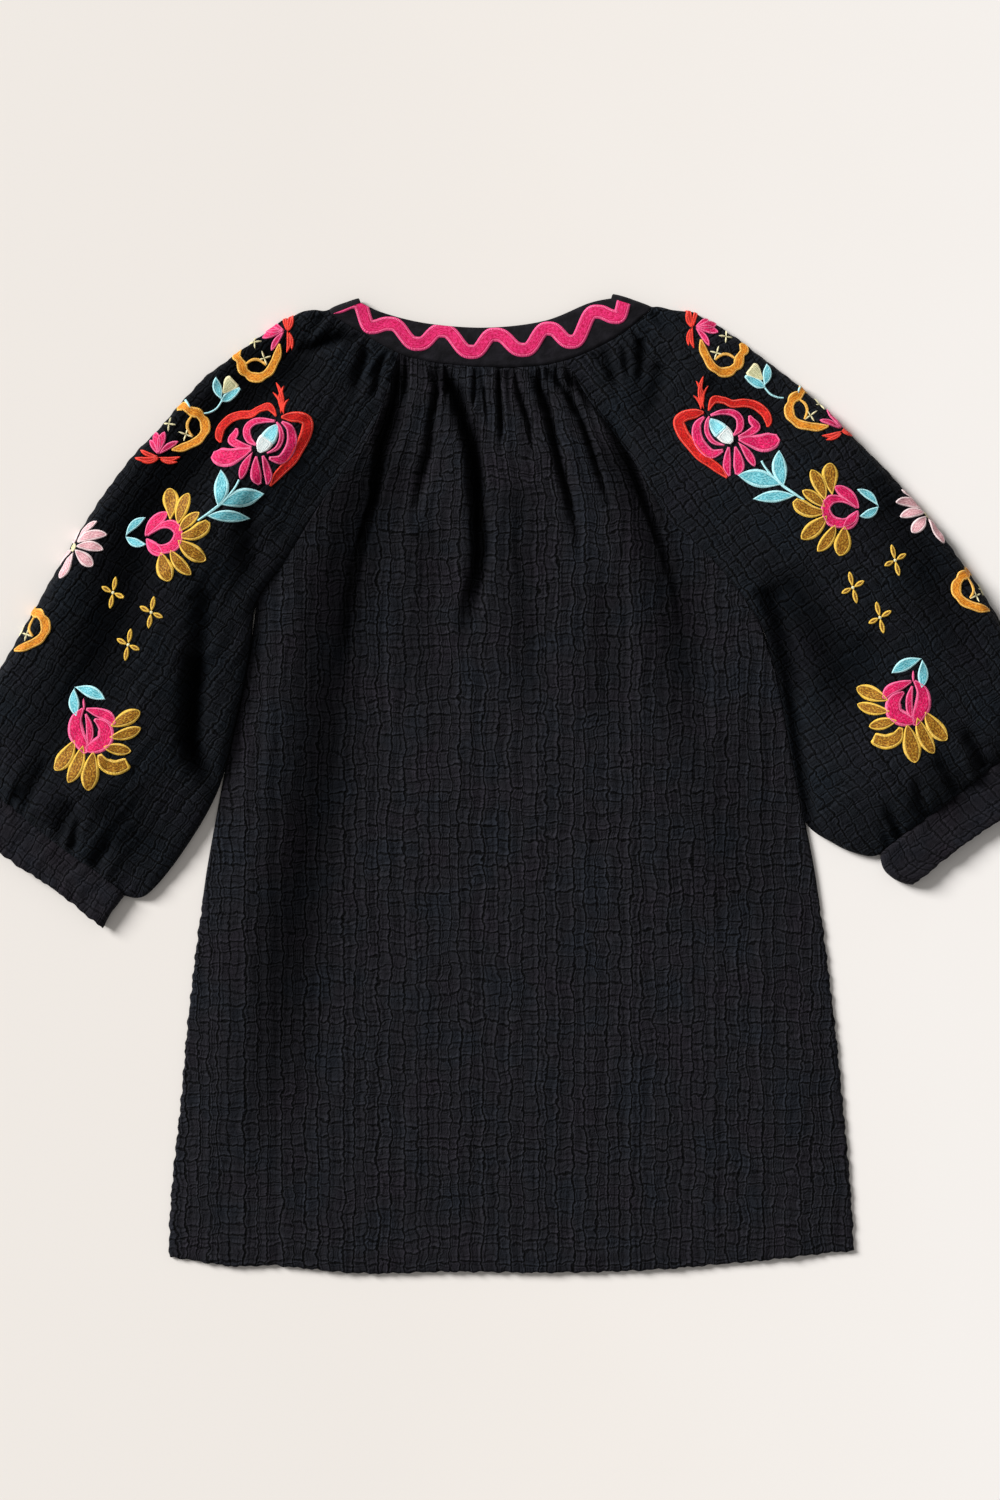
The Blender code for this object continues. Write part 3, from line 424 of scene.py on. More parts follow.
# Where each motif is sewn, in the garment's frame, how far it is turned, and whether it is
# mirrored before that.
Place = namedtuple("Place", "side motif x y turn mirrored")
PLACES = (
    Place("left", "crowned_flower", -183.0, 623.3, 0.0, False),
    Place("left", "leaf_spray", -208.5, 578.3, 0.0, False),
    Place("left", "gold_flower", -258.0, 552.8, 0.0, False),
    Place("left", "tulip_frame", -244.5, 633.8, 0.0, False),
    Place("left", "tulip_frame", -190.5, 687.0, 90.0, True),
    Place("left", "edge_frame", -363.0, 484.5, 0.0, False),
    Place("left", "bud", -213.0, 660.8, 0.0, False),
    Place("left", "stem_tip", -241.5, 650.5, 0.0, False),
    Place("left", "pale_flower", -326.5, 543.8, 0.0, False),
    Place("left", "small_cross", -296.3, 509.3, 0.0, False),
    Place("left", "small_cross", -267.0, 494.3, 0.0, False),
    Place("left", "small_cross", -284.3, 470.3, 0.0, False),
    Place("left", "round_flower", -311.3, 406.5, 0.0, False),
    Place("right", "crowned_flower", 158.3, 629.3, 10.0, True),
    Place("right", "leaf_spray", 193.2, 592.8, 2.0, True),
    Place("right", "gold_flower", 244.5, 572.0, 6.0, True),
    Place("right", "tulip_frame", 223.5, 648.0, 15.0, True),
    Place("right", "tulip_frame", 159.5, 690.5, -88.0, False),
    Place("right", "edge_frame", 348.0, 513.5, 5.0, True),
    Place("right", "bud", 185.3, 670.5, 6.0, True),
    Place("right", "stem_tip", 216.5, 662.0, 0.0, True),
    Place("right", "pale_flower", 312.8, 570.0, 4.0, True),
    Place("right", "small_cross", 285.8, 533.3, 3.0, True),
    Place("right", "small_cross", 253.8, 512.8, 3.0, True),
    Place("right", "small_cross", 273.8, 490.5, 3.0, True),
    Place("right", "round_flower", 294.0, 426.8, 4.0, True),
)

# How the embroidery's petals and strips are modelled.
PETAL_HEIGHT = 0.85
PETAL_ACROSS = 10
PETAL_STEP = 1.0
PETAL_SHARES = (0.0, 0.03, 0.08, 0.16, 0.3, 0.45, 0.6, 0.74, 0.86, 0.93, 0.975, 1.0)
PETAL_POINT = 0.62
LEAF_POINT = 0.92
THINNEST_PETAL = 0.12
THINNEST_STRIP = 0.1
FEWEST_STEPS = 6
CORD_WIDTHS = (1.1, 1.9)
CORD_SHARE = 0.33
CORD_MIDDLE = 0.6
CORD_REACH = 0.55
THREAD_LOWEST = 0.06
WAVE_STEPS = 12
WAVE_EASE = 0.7

# How the cut pieces turn, bend and fade.
FOLD_FADE_IN = 0.1
FOLD_STARTS_AT = 0.35
FOLD_FADE_OUT = 0.45
# How the painted shade in a fold grows with its depth.
PAINTED_SHADE_CURVE = 0.9
RAGLAN_FRONT_BEND = 4.0
TURN_AT_TOP = 0.06
TURN_AT_UNDER = 0.96
SLEEVE_UNDER_STEPS = 36
SLEEVE_EDGE_LIMIT = 0.55
SLEEVE_CREST_AT = 0.45
SLEEVE_CLOSES_FROM = 3.0
SLEEVE_LAST_ROW = 12.0
CUFF_BULGE_CURVE = 0.8
HEM_SHARE = 0.03
HEM_LOW_SHARE = 0.6
SIDE_FADE = 10.0
NECK_BEND_CURVE = 1.5
FRONT_ROWS = 110
FRONT_COLUMNS = 120
FRONT_INSET = 1.2
FRONT_SEAM_INSET = 0.8
FRONT_HEIGHT = 0.75
FRONT_RAGLAN_STEPS = 15
FRONT_NECK_STEPS = 60
FRONT_NECK_GAP = 0.01
BAND_BACK_STATIONS = 97
BAND_FRONT_STATIONS = 91
BAND_STATIONS_ACROSS = 13
BAND_DEPTH = 30.0
BAND_ROUND = 0.56
CUFF_DEPTH = 33.0

# Heights of the cloth's own unevenness.
BROAD_HEIGHT = 0.42
PUFF_HEIGHT_ACROSS = 0.24
PUFF_HEIGHT_ALONG = 0.2
SLOW_HEIGHT = 0.35
FRONT_CRUMPLE = 0.2

# Gathers: the pitch of their pleats, how far they reach, where their waves start, how high
# they stand and how much painted shade their tucks get.
Gather = namedtuple("Gather", "pitch reach seed height shade")
BACK_GATHERS = (Gather(1.9, 36.0, 0.0, 1.5, 0.75), Gather(1.05, 15.0, 0.8, 0.6, 0.35))
SLEEVE_AT_CUFF = Gather(2.3, 27.0, 0.4, 1.15, 0.24)
SLEEVE_AT_BAND = Gather(1.7, 26.0, 1.3, 1.1, 0.62)
CUFF_PUCKERS = Gather(1.2, 6.0, 0.5, 0.5, 0.0)
GATHER_MIDDLE = -20.0
GATHER_FULLNESS = 1.4
GATHER_FROM = 540.0
GATHER_LENGTH = 130.0
GATHER_LEAN = 0.22
# The darkest painted shade in the tucks of the back's and the sleeves' gathers, and how dark the crevices
# between back and sleeves are painted.
DARKEST_BACK_TUCK_SHADE = 0.8
DARKEST_SLEEVE_TUCK_SHADE = 0.7
CREVICE_PAINTED_SHADE = 0.92

# How far the sheets are turned in at their edges, and over what length their relief fades.
HEM_TURN = (0.0, 0.4, -1.6)
BAND_TUCK_LENGTH = 3.0
BAND_TUCK_DEPTH = 2.6
SIDE_TURN_WIDTH = 1.4
SIDE_TURN_DEPTH = 1.9
SIDE_TURN_LOWEST = 1.1
ARMHOLE_TURN_DEPTH = 2.4
ARMHOLE_TURN_LOWEST = 1.9
ARMHOLE_TURN_WIDTH = 2.0
NECK_TUCK_SHIFT = 0.6
CUFF_TUCK_LENGTH = 2.6
OUTLINE_REACH = 7.0
SIDE_FREE_FADE = 15.0
BAND_FADE = 8.0
END_FADE = 0.02
GATHER_FADE = 3.0
GATHER_END_FADE = 0.06
SLEEVE_GATHER_FADE = 4.0
SLEEVE_SEAM_FADE = 6.0
FOLD_CRINKLE = 1.7

# Painted shade in the crevices between back and sleeve: where it is darkest, and how far it reaches.
BACK_CREVICE_SHADE = (450.0, 70.0)
SLEEVE_CREVICE_SHADE = (7.0, 1.6)

# How high the sheets must stay, and above what height they count as lying on top.
BACK_SHEET_LOWEST = 2.2
SLEEVE_SHEET_LOWEST = 0.12
SHEET_LOWEST = 0.1
CUFF_TOP_FROM = 5.0
BAND_TOP_FROM = 4.0

# A row and a column of each sheet that are known to be on top.
SLEEVE_TOP_SPOT = (100, 40)
CUFF_TOP_SPOT = (8, 40)
BAND_TOP_SPOT = (48, 6)

# The stage: a plain floor, a pale sky, a window at the upper left and a camera overhead.
FLOOR_SIZE = 8.0
SKY_COLOUR = (1.0, 0.985, 0.97, 1.0)
SKY_STRENGTH = 0.275
WINDOW_STRENGTH = 4.6
WINDOW_DEGREES = 24.0
WINDOW_PLACE = (-1.7, 1.05, 1.12)
CAMERA_MIDDLE = (-8.25, 392.25, 0.0)
CAMERA_HEIGHT = 2.6
CAMERA_SENSOR = 36.0
CAMERA_REACH = 50.0
PICTURE_HEIGHT = 1.125


# Shapes of the cut pieces


def mix(a, b, share):
    return a + (b - a) * share


def bell(distance, reach):
    """How strongly something acts at a distance: 1 in its middle, fading over its reach."""
    return np.exp(-((distance / reach) ** 2))


def unit(vectors):
    """The directions of some vectors."""
    return vectors / np.maximum(np.linalg.norm(vectors, axis=-1, keepdims=True), 1e-9)


def travelled(points):
    """How far along a line of points each one is."""
    return np.concatenate([[0], np.cumsum(np.linalg.norm(np.diff(points, axis=0), axis=1))])


def smooth(share):
    share = np.clip(share, 0.0, 1.0)
    return share * share * (3.0 - 2.0 * share)


def follow(table, at):
    """All columns of a table, followed smoothly to the row numbers at."""
    rows = np.array(table, float)
    at = np.asarray(at, float)
    i = np.clip(at.astype(int), 0, len(rows) - 2)
    s = (at - i)[..., None]
    here, there = rows[i], rows[i + 1]
    leaving = (there - rows[np.maximum(i - 1, 0)]) / 2
    arriving = (rows[np.minimum(i + 2, len(rows) - 1)] - here) / 2
    return (
        (2 * s**3 - 3 * s**2 + 1) * here
        + (s**3 - 2 * s**2 + s) * leaving
        + (3 * s**2 - 2 * s**3) * there
        + (s**3 - s**2) * arriving
    )


def look_up(table, key):
    """All columns of a table where its first one has a given value."""
    firsts = np.array(table, float)[:, 0]
    return follow(table, np.interp(key, firsts, np.arange(len(firsts))))


def side_x(side, y):
    return look_up(SIDES, y)[..., 1 if side == "left" else 2]


def hem_y(across):
    return look_up(HEM, across)[..., 1]


def outwards(side):
    return -1.0 if side == "left" else 1.0


def trough(folds, x, y):
    """How deep the folds press the cloth at some points."""
    deep = np.zeros(np.shape(x))
    for fold in folds:
        points = np.array(fold.points)
        lengths = np.linalg.norm(np.diff(points, axis=0), axis=1)
        before = np.concatenate([[0], np.cumsum(lengths)])
        for i, length in enumerate(lengths):
            (x0, y0), (x1, y1) = points[i], points[i + 1]
            share = np.clip(((x - x0) * (x1 - x0) + (y - y0) * (y1 - y0)) / length**2, 0, 1)
            away = np.hypot(x - mix(x0, x1, share), y - mix(y0, y1, share))
            run = (before[i] + share * length) / before[-1]
            fade = smooth(run / FOLD_FADE_IN + FOLD_STARTS_AT) * smooth((1 - run) / FOLD_FADE_OUT)
            deep = np.maximum(deep, fold.depth * fade * bell(away, fold.width))
    return deep


def painted_fold_shade(folds, x, y):
    """How much painted shade the cloth gets in the folds, 0 to 1, from how far down in a fold it is; the
    shade is moved onto the side that faces away from the window.
    """
    deep = trough(folds, x + PAINTED_SHADE_LEAN, y - PAINTED_SHADE_LEAN / 2) / PAINTED_SHADE_DEPTH
    return np.clip(deep, 0.0, 1.0) ** PAINTED_SHADE_CURVE


def above(height, lowest, softness=0.1):
    """A height that levels off softly where it would fall below the lowest one."""
    spare = height - lowest
    return lowest + (spare + np.sqrt(spare * spare + softness)) / 2


def neck_back(at):
    """The band's top and seam edges across the back at row numbers of its table."""
    row = follow(NECK, at)
    return row[..., [0, 1, 4]], row[..., [2, 3, 4]]


def fold_turn(side, angle):
    """The band's two edges where it turns under at a shoulder, 0 on top and pi below."""
    row = NECK[0] if side == "left" else NECK[-1]
    along = np.array([row.seam_x - row.top_x, row.seam_y - row.top_y])
    out = unit(np.array([-along[1], along[0]]))
    if out[1] < 0:
        out = -out
    radius = row.height / 2
    reach, z = radius * np.sin(angle), radius + radius * np.cos(angle)
    return (
        np.array([row.top_x + out[0] * reach, row.top_y + out[1] * reach, z]),
        np.array([row.seam_x + out[0] * reach, row.seam_y + out[1] * reach, z]),
    )


def neck_front(at):
    """The band's two edges along the front neckline, from the left fold to the right."""
    at = np.asarray(at, float)
    share, dip = (1 - np.cos(np.pi * at)) / 2, np.sin(np.pi * at)
    left, right = NECK[0], NECK[-1]
    flat = np.zeros(np.shape(at))
    top_y = mix(left.top_y, right.top_y, share) - FRONT_TOP_DROP * dip
    seam_y = mix(left.seam_y, right.seam_y, share) - FRONT_SEAM_DROP * dip
    top = np.stack([mix(left.top_x, right.top_x, share), top_y, flat], -1)
    seam = np.stack([mix(left.seam_x, right.seam_x, share), seam_y, flat], -1)
    return top, seam


def beyond_seam(edges, gap=SEAM_GAP):
    """Points just past the band's seam edge, away from the band."""
    top, seam = edges
    made = np.array(seam, float)
    made[..., :2] += unit(seam[..., :2] - top[..., :2]) * gap
    return made


def raglan_back(side, at):
    """A point of the seam between the back and a sleeve, at a row number of the sleeve."""
    top = beyond_seam(neck_back(RAGLAN_TOP_AT[side]))
    if at <= 0:
        return top
    row = SleeveRow(*follow(SLEEVES[side], at))
    start = SLEEVES[side][0]
    fade = max(0.0, 1 - at / 2)
    return np.array([row.inner_x + (top[0] - start.inner_x) * fade,
                     row.inner_y + (top[1] - start.inner_y) * fade, row.seam_z])


def raglan_front(side, at):
    """A point of the seam between the front and a sleeve, at a row number of the sleeve."""
    along = FRONT_RAGLAN_AT if side == "left" else 1 - FRONT_RAGLAN_AT
    top = beyond_seam(neck_front(along))
    armpit = raglan_back(side, ARMPIT_ROW)
    share = at / ARMPIT_ROW
    bend = outwards(side) * -RAGLAN_FRONT_BEND * math.sin(math.pi * share)
    return np.array([mix(top[0], armpit[0], share) + bend, mix(top[1], armpit[1], share), 0.0])


def sleeve_stations():
    """The places round a sleeve's section: over the top from the inner edge, round the
    shoulder fold, and back under it."""
    top = [("inner_top", a) for a in range(0, 90, 15)]
    top += [("top", i / SLEEVE_TOP_STEPS) for i in range(SLEEVE_TOP_STEPS + 1)]
    fold = [("fold", a) for a in range(12, 180, 12)]
    under = [("under", i / SLEEVE_UNDER_STEPS) for i in range(SLEEVE_UNDER_STEPS + 1)]
    under += [("inner_under", a) for a in (67, 45, 22, 0)]
    return top + fold + under


STATIONS = sleeve_stations()


def neck_ring(side):
    """The sleeve's first ring, along the band's seam from the raglan round the shoulder."""
    first = RAGLAN_TOP_AT[side]
    last = 0.0 if side == "left" else len(NECK) - 1.0
    front = (0.0, FRONT_RAGLAN_AT) if side == "left" else (1.0, 1 - FRONT_RAGLAN_AT)
    ring = []
    for part, value in STATIONS:
        if part == "inner_top":
            edges = neck_back(mix(first, last, TURN_AT_TOP * (1 - math.cos(math.radians(value)))))
        elif part == "top":
            edges = neck_back(mix(first, last, mix(TURN_AT_TOP, 1.0, value)))
        elif part == "fold":
            edges = fold_turn(side, math.radians(value))
        elif part == "under":
            edges = neck_front(mix(*front, TURN_AT_UNDER * value))
        else:
            edges = neck_front(mix(*front, mix(1.0, TURN_AT_UNDER, value / 90)))
        ring.append(beyond_seam(edges))
    return np.array(ring)


def sleeve_edges(side, at, row):
    """The inner edges of a sleeve's section, on top and underneath."""
    if at < ARMPIT_ROW:
        return raglan_back(side, at)[:2], raglan_front(side, at)[:2]
    edge = float(side_x(side, row.inner_y)) + outwards(side) * SIDE_GAP
    inner_x = min(row.inner_x, edge) if side == "left" else max(row.inner_x, edge)
    inner = np.array([inner_x, row.inner_y])
    return inner, inner


def sleeve_spot(part, value, radius, width, under_width, closing):
    """A place round a sleeve's section: how far out it is, how much it is rounded off, and
    its height, if that doesn't depend on the puff. Places with a height are underneath."""
    angle = math.radians(value)
    if part == "inner_top":
        return radius * (1 - math.cos(angle)) / width, mix(1.0, math.sin(angle), closing), math.nan
    if part == "top":
        return mix(radius / width, 1 - radius / width, value), 1.0, math.nan
    if part == "fold" and value <= 90:
        return 1 - radius * (1 - math.sin(angle)) / width, math.cos(angle), math.nan
    inset = SLEEVE_UNDER_RADIUS / under_width
    if part == "fold":
        return 1 - inset * (1 - math.sin(angle)), 1.0, SLEEVE_EDGE_Z * (1 + math.cos(angle))
    if part == "under":
        return mix(1 - inset, inset, value), 1.0, 0.0
    rise = SLEEVE_EDGE_Z * (1 - math.sin(angle)) if closing == 1.0 else 0.0
    return inset * (1 - math.cos(angle)), 1.0, rise


def unroll(ring, along, start, direction):
    """A section laid out flat: its top stays where it is, and its sides follow on."""
    arc = travelled(ring)
    tops = [i for i, station in enumerate(STATIONS) if station[0] == "top"]
    first, last = tops[0], tops[-1]
    along[:first] = along[first] - (arc[first] - arc[:first])
    along[last:] = along[last] + (arc[last:] - arc[last])
    return start + direction * along[:, None]


def sleeve_ring(side, at):
    """One section of a sleeve, and the same section unrolled into the plan's plane."""
    row = SleeveRow(*follow(SLEEVES[side], at))
    closing = float(smooth((at - SLEEVE_CLOSES_FROM) / (ARMPIT_ROW - SLEEVE_CLOSES_FROM)))
    outer = np.array([row.outer_x, row.outer_y])
    inner_top, inner_under = sleeve_edges(side, at, row)
    width, under_width = np.linalg.norm(outer - inner_top), np.linalg.norm(outer - inner_under)
    radius = min(SLEEVE_EDGE_RADIUS, row.puff * SLEEVE_EDGE_LIMIT)
    spots = [sleeve_spot(*station, radius, width, under_width, closing) for station in STATIONS]
    share, rounding, fixed_z = np.array(spots).T
    is_top = np.isnan(fixed_z)
    plan = mix(np.where(is_top[:, None], inner_top, inner_under), outer, share[:, None])

    is_inner = share < SLEEVE_CREST_AT
    rise = np.where(is_inner, smooth(share / SLEEVE_CREST_AT), smooth((1 - share) / (1 - SLEEVE_CREST_AT)))
    seam_height = mix(row.seam_z, row.puff * SLEEVE_INNER_SHARE, closing)
    low = np.where(is_inner, seam_height, row.puff * SLEEVE_EDGE_SHARE)
    height = mix(low, row.puff, rise) - trough(SLEEVE_FOLDS[side] + BACK_FOLDS, plan[:, 0], plan[:, 1])
    top_z = above(SLEEVE_EDGE_Z + (height - SLEEVE_EDGE_Z) * rounding, LOWEST_BACK)
    z = np.where(is_top, top_z, fixed_z)
    if at >= ARMPIT_ROW:
        z[0] = SLEEVE_EDGE_Z
    ring = np.column_stack([plan, z])
    return ring, unroll(ring, share * width, inner_top, (outer - inner_top) / width)


def sleeve_surface(side):
    """Rings of a sleeve from the band to the cuff, the same unrolled, and their row numbers."""
    first_ring, first_flat = sleeve_ring(side, RAGLAN_STEP)
    neck = neck_ring(side)
    neck_flat = first_flat + (neck - first_ring)[:, :2]
    places = SLEEVE_LAST_ROW * np.arange(SLEEVE_RINGS + 1) / SLEEVE_RINGS
    rings, flats = [], []
    for at in places:
        if at < RAGLAN_STEP:
            share = at / RAGLAN_STEP
            ring, flat = mix(neck, first_ring, share), mix(neck_flat, first_flat, share)
        else:
            ring, flat = sleeve_ring(side, at)
        rings.append(ring)
        flats.append(flat)
    return np.array(rings), np.array(flats), places


def cuff_surface(side):
    """Rings of a cuff from the sleeve to its free edge."""
    start, edge = SLEEVES[side][-1], CUFF_EDGES[side]
    shift = unit(np.array([edge.inner_x - start.inner_x, edge.inner_y - start.inner_y])) * CUFF_GAP
    made = []
    for i in range(CUFF_RINGS + 1):
        share = i / CUFF_RINGS
        inner = np.array([mix(start.inner_x, edge.inner_x, share), mix(start.inner_y, edge.inner_y, share)])
        outer = np.array([mix(start.outer_x, edge.outer_x, share), mix(start.outer_y, edge.outer_y, share)])
        bulge = edge.bulge * math.sin(math.pi * share) ** CUFF_BULGE_CURVE
        ring = cuff_ring(inner - unit(outer - inner) * bulge, outer, mix(CUFF_HEIGHT, edge.height, share))
        ring[:, :2] += shift * (1 - share)
        made.append(ring)
    return np.array(made)


def cuff_ring(inner, outer, height):
    """One section of a cuff, at the same places as a sleeve's."""
    width = np.linalg.norm(outer - inner)
    ring = []
    for part, value in STATIONS:
        angle = math.radians(value)
        if part == "inner_top":
            away = CUFF_EDGE_RADIUS * (1 - math.cos(angle))
            z = SLEEVE_EDGE_Z + (height - SLEEVE_EDGE_Z) * math.sin(angle)
        elif part == "top":
            away, z = mix(CUFF_EDGE_RADIUS, width - CUFF_EDGE_RADIUS, value), height
        elif part == "fold" and value <= 90:
            away = width - CUFF_EDGE_RADIUS * (1 - math.sin(angle))
            z = SLEEVE_EDGE_Z + (height - SLEEVE_EDGE_Z) * math.cos(angle)
        elif part == "fold":
            away = width - SLEEVE_UNDER_RADIUS * (1 - math.sin(angle))
            z = SLEEVE_EDGE_Z * (1 + math.cos(angle))
        elif part == "under":
            away, z = mix(width - SLEEVE_UNDER_RADIUS, SLEEVE_UNDER_RADIUS, value), 0.0
        else:
            away, z = SLEEVE_UNDER_RADIUS * (1 - math.cos(angle)), SLEEVE_EDGE_Z * (1 - math.sin(angle))
        spot = mix(inner, outer, away / width)
        ring.append((spot[0], spot[1], z))
    return np.array(ring)


def back_ends(part, value):
    """The left and the right end of one row of the back."""
    ends = []
    for side, corner in zip(BOTH_SIDES, (HEM[0], HEM[-1])):
        if part == "body":
            y = mix(corner.y, raglan_back(side, ARMPIT_ROW)[1], value)
            ends.append(np.array([float(side_x(side, y)), y, LOWEST_BACK]))
        else:
            ends.append(raglan_back(side, value) - np.array([outwards(side) * SEAM_GAP, 0.0, 0.0]))
    return ends


def back_row(part, value):
    """One row of the back: of its body, from hem to armpits, or between its raglans."""
    left, right = back_ends(part, value)
    width = right[0] - left[0]
    across = np.linspace(0.0, 1.0, BACK_COLUMNS + 1)
    x, y = mix(left[0], right[0], across), mix(left[1], right[1], across)
    seam = beyond_seam(neck_back(mix(RAGLAN_TOP_AT["left"], RAGLAN_TOP_AT["right"], across)))
    is_hem, is_seam = (part, value) == ("body", 0), (part, value) == ("raglan", 0)
    if part == "body":
        y = y + (hem_y(across) - mix(HEM[0].y, HEM[-1].y, across)) * (1 - value) ** 2
    else:
        straight = mix(raglan_back("left", 0)[1], raglan_back("right", 0)[1], across)
        y = y + (seam[:, 1] - straight) * (1 - value / ARMPIT_ROW) ** NECK_BEND_CURVE
    if is_seam:
        x = seam[:, 0]

    near_neck = smooth((y - NECK_PLATEAU_FROM) / (NECK_PLATEAU_TO - NECK_PLATEAU_FROM))
    plateau = mix(BODY_PLATEAU, NECK_PLATEAU, near_neck)
    soft = min(EDGE_SOFTNESS, width / 5)
    to_left, to_right = across * width, (1 - across) * width
    height = plateau + (left[2] - plateau) * bell(to_left, soft)
    height = height + (right[2] - plateau) * bell(to_right, soft)
    if is_seam:
        height = seam[:, 2]
    if is_hem:
        height = mix(height, LOWEST_BACK, HEM_LOW_SHARE)
    side = smooth(np.minimum(to_left, to_right) / SIDE_FADE) if part == "body" else 1.0
    height = height - trough(BACK_FOLDS, x, y) * side
    return np.column_stack([x, y, above(height, LOWEST_BACK)])


def back_surface():
    """Rows of the back from the hem to the band."""
    rows = []
    hem, next_up = back_row("body", 0.0), back_row("body", HEM_SHARE)
    for i in range(BACK_BODY_ROWS):
        share = i / BACK_BODY_ROWS
        near_hem = share < HEM_SHARE
        rows.append(mix(hem, next_up, share / HEM_SHARE) if near_hem else back_row("body", share))
    top, next_down = back_row("raglan", 0.0), back_row("raglan", RAGLAN_STEP)
    for i in range(BACK_RAGLAN_ROWS + 1):
        value = ARMPIT_ROW * (1 - i / BACK_RAGLAN_ROWS)
        near_band = value < RAGLAN_STEP
        rows.append(mix(top, next_down, value / RAGLAN_STEP) if near_band else back_row("raglan", value))
    return np.array(rows)


def front_top():
    """The front's upper edge: up one raglan, along the neckline and down the other."""
    steps = np.arange(FRONT_RAGLAN_STEPS + 1) / FRONT_RAGLAN_STEPS
    inset = np.array([FRONT_SEAM_INSET, 0.0])
    left = [raglan_front("left", ARMPIT_ROW * (1 - step))[:2] + inset for step in steps]
    right = [raglan_front("right", ARMPIT_ROW * step)[:2] - inset for step in steps]
    neck_start = FRONT_RAGLAN_AT + FRONT_NECK_GAP
    neckline = neck_front(np.linspace(neck_start, 1 - neck_start, FRONT_NECK_STEPS))
    return np.vstack([left, beyond_seam(neckline, FRONT_SEAM_INSET)[:, :2], right])


def front_surface():
    """The front, flat on the surface: its hem, its raglans and neckline, and its sides."""
    top = front_top()
    top_share = (top[:, 0] - top[0, 0]) / (top[-1, 0] - top[0, 0])
    across = np.linspace(0, 1, FRONT_COLUMNS + 1)
    upper = np.column_stack([np.interp(across, top_share, top[:, i]) for i in (0, 1)])
    lower_x = mix(SIDES[0].left + FRONT_INSET, SIDES[0].right - FRONT_INSET, across)
    lower = np.column_stack([lower_x, hem_y(across) + FRONT_INSET])
    z = np.full(FRONT_COLUMNS + 1, FRONT_HEIGHT)
    made = []
    for i in range(FRONT_ROWS + 1):
        straight = mix(lower, upper, i / FRONT_ROWS)
        moves = []
        for side, end in zip(BOTH_SIDES, (0, -1)):
            edge_x = float(side_x(side, straight[end, 1])) - outwards(side) * FRONT_INSET
            moves.append(edge_x - straight[end, 0])
        x = straight[:, 0] + mix(*moves, across) * (np.abs(2 * across - 1) ** 2)
        made.append(np.column_stack([x, straight[:, 1], z]))
    return np.array(made)


# Making meshes and laying pieces on them


def to_row(points):
    """Garment millimetres to the row's frame in metres."""
    moved = np.array(points, float)
    moved[..., :2] -= PLAN_MIDDLE
    return moved * MM


def grid_normals(points):
    return unit(np.cross(np.gradient(points, axis=1), np.gradient(points, axis=0)))


def upward_normals(points, row, column):
    """A grid's normals, turned so that they point up at a place that is on top."""
    normals = grid_normals(points)
    return -normals if normals[row, column, 2] < 0 else normals


def grid_quads(rows, columns):
    """The four corners of each cell of a grid."""
    index = np.arange(rows * columns).reshape(rows, columns)
    corners = index[:-1, :-1], index[:-1, 1:], index[1:, 1:], index[1:, :-1]
    return np.stack(corners, -1).reshape(-1, 4)


def turned_in(edge, normals, depth, shift=0.0):
    """A copy of an edge of the cloth, sunk by a depth and shifted in plan."""
    made = edge - normals * depth
    made[..., :2] += shift
    return made


def crumple(u, v):
    """The cloth's own unevenness in millimetres: broad pleats and the crinkle's puffs."""
    broad = BROAD_HEIGHT * np.sin(u / 3.7 + 1.1 * np.sin(v / 41.0) + 2.1 * np.sin(u / 14.0 + 0.6))
    broad = broad * (0.6 + 0.4 * np.sin(v / 27.0 + u / 30.0))
    puffs = PUFF_HEIGHT_ACROSS * np.sin(u / 1.72 + 1.6 * np.sin(v / 12.0 + u / 40.0))
    turn = v / 1.95 + 1.4 * np.sin(u / 7.6) + 0.8 * np.sin(v / 33.0)
    puffs = puffs + PUFF_HEIGHT_ALONG * np.sin(turn)
    slow = SLOW_HEIGHT * np.sin(v / 19.0 + 1.3 * np.sin(u / 23.0)) * np.sin(u / 31.0 + 0.5)
    return broad + puffs + slow


def pleats(u, pitch, seed=0.0):
    """Uneven pleats, -1 to 1: a wave whose pitch and height wander."""
    wander = 1.7 * np.sin(u / (pitch * 4.3) + 0.7 + seed) + np.sin(u / (pitch * 9.7) + 2.0 + seed)
    return np.sin(u / pitch + wander) * (0.62 + 0.38 * np.sin(u / (pitch * 2.9) + 1.0 + 2.0 * seed))


def gather(kind, u, distance):
    """The pleats of a gather, which fade with the distance from the seam they start at."""
    return pleats(u, kind.pitch, kind.seed) * bell(distance, kind.reach)


def edge_bumps(along):
    """The little bumps that the crinkle gives the cloth's outline, in millimetres."""
    small = 0.42 * np.sin(along / 1.3 + 1.5 * np.sin(along / 9.0))
    return small + 0.4 * np.sin(along / 2.9 + np.sin(along / 17.0))


def new_object(name, data, materials=()):
    obj = bpy.data.objects.new(name, data)
    bpy.context.scene.collection.objects.link(obj)
    for material in materials:
        data.materials.append(material)
    return obj


def set_map(mesh, name, values):
    """A UV map that gives each corner the pair of values of its vertex."""
    layer = mesh.uv_layers.new(name=name)
    corners = np.zeros(len(mesh.loops), np.int32)
    mesh.loops.foreach_get("vertex_index", corners)
    layer.data.foreach_set("uv", values.reshape(-1, 2)[corners].astype(np.float32).ravel())


def set_attribute(mesh, name, values):
    """An attribute with a value for each vertex."""
    attribute = mesh.attributes.new(name, "FLOAT", "POINT")
    attribute.data.foreach_set("value", values.astype(np.float32).ravel())


def sheet_mesh(name, points, uv, painted_shade=None, turned=False):
    """A sheet through a grid of points, in metres, with its own lay as a UV map and its painted shade as an
    attribute.
    """
    quads = grid_quads(*points.shape[:2])
    if turned:
        quads = quads[:, ::-1]
    mesh = bpy.data.meshes.new(name)
    mesh.from_pydata(points.reshape(-1, 3).tolist(), [], quads.tolist())
    set_map(mesh, "lay", uv)
    set_attribute(mesh, "painted_shade", np.zeros(points.shape[:2]) if painted_shade is None else painted_shade)
    mesh.shade_smooth()
    mesh.update()
    return mesh


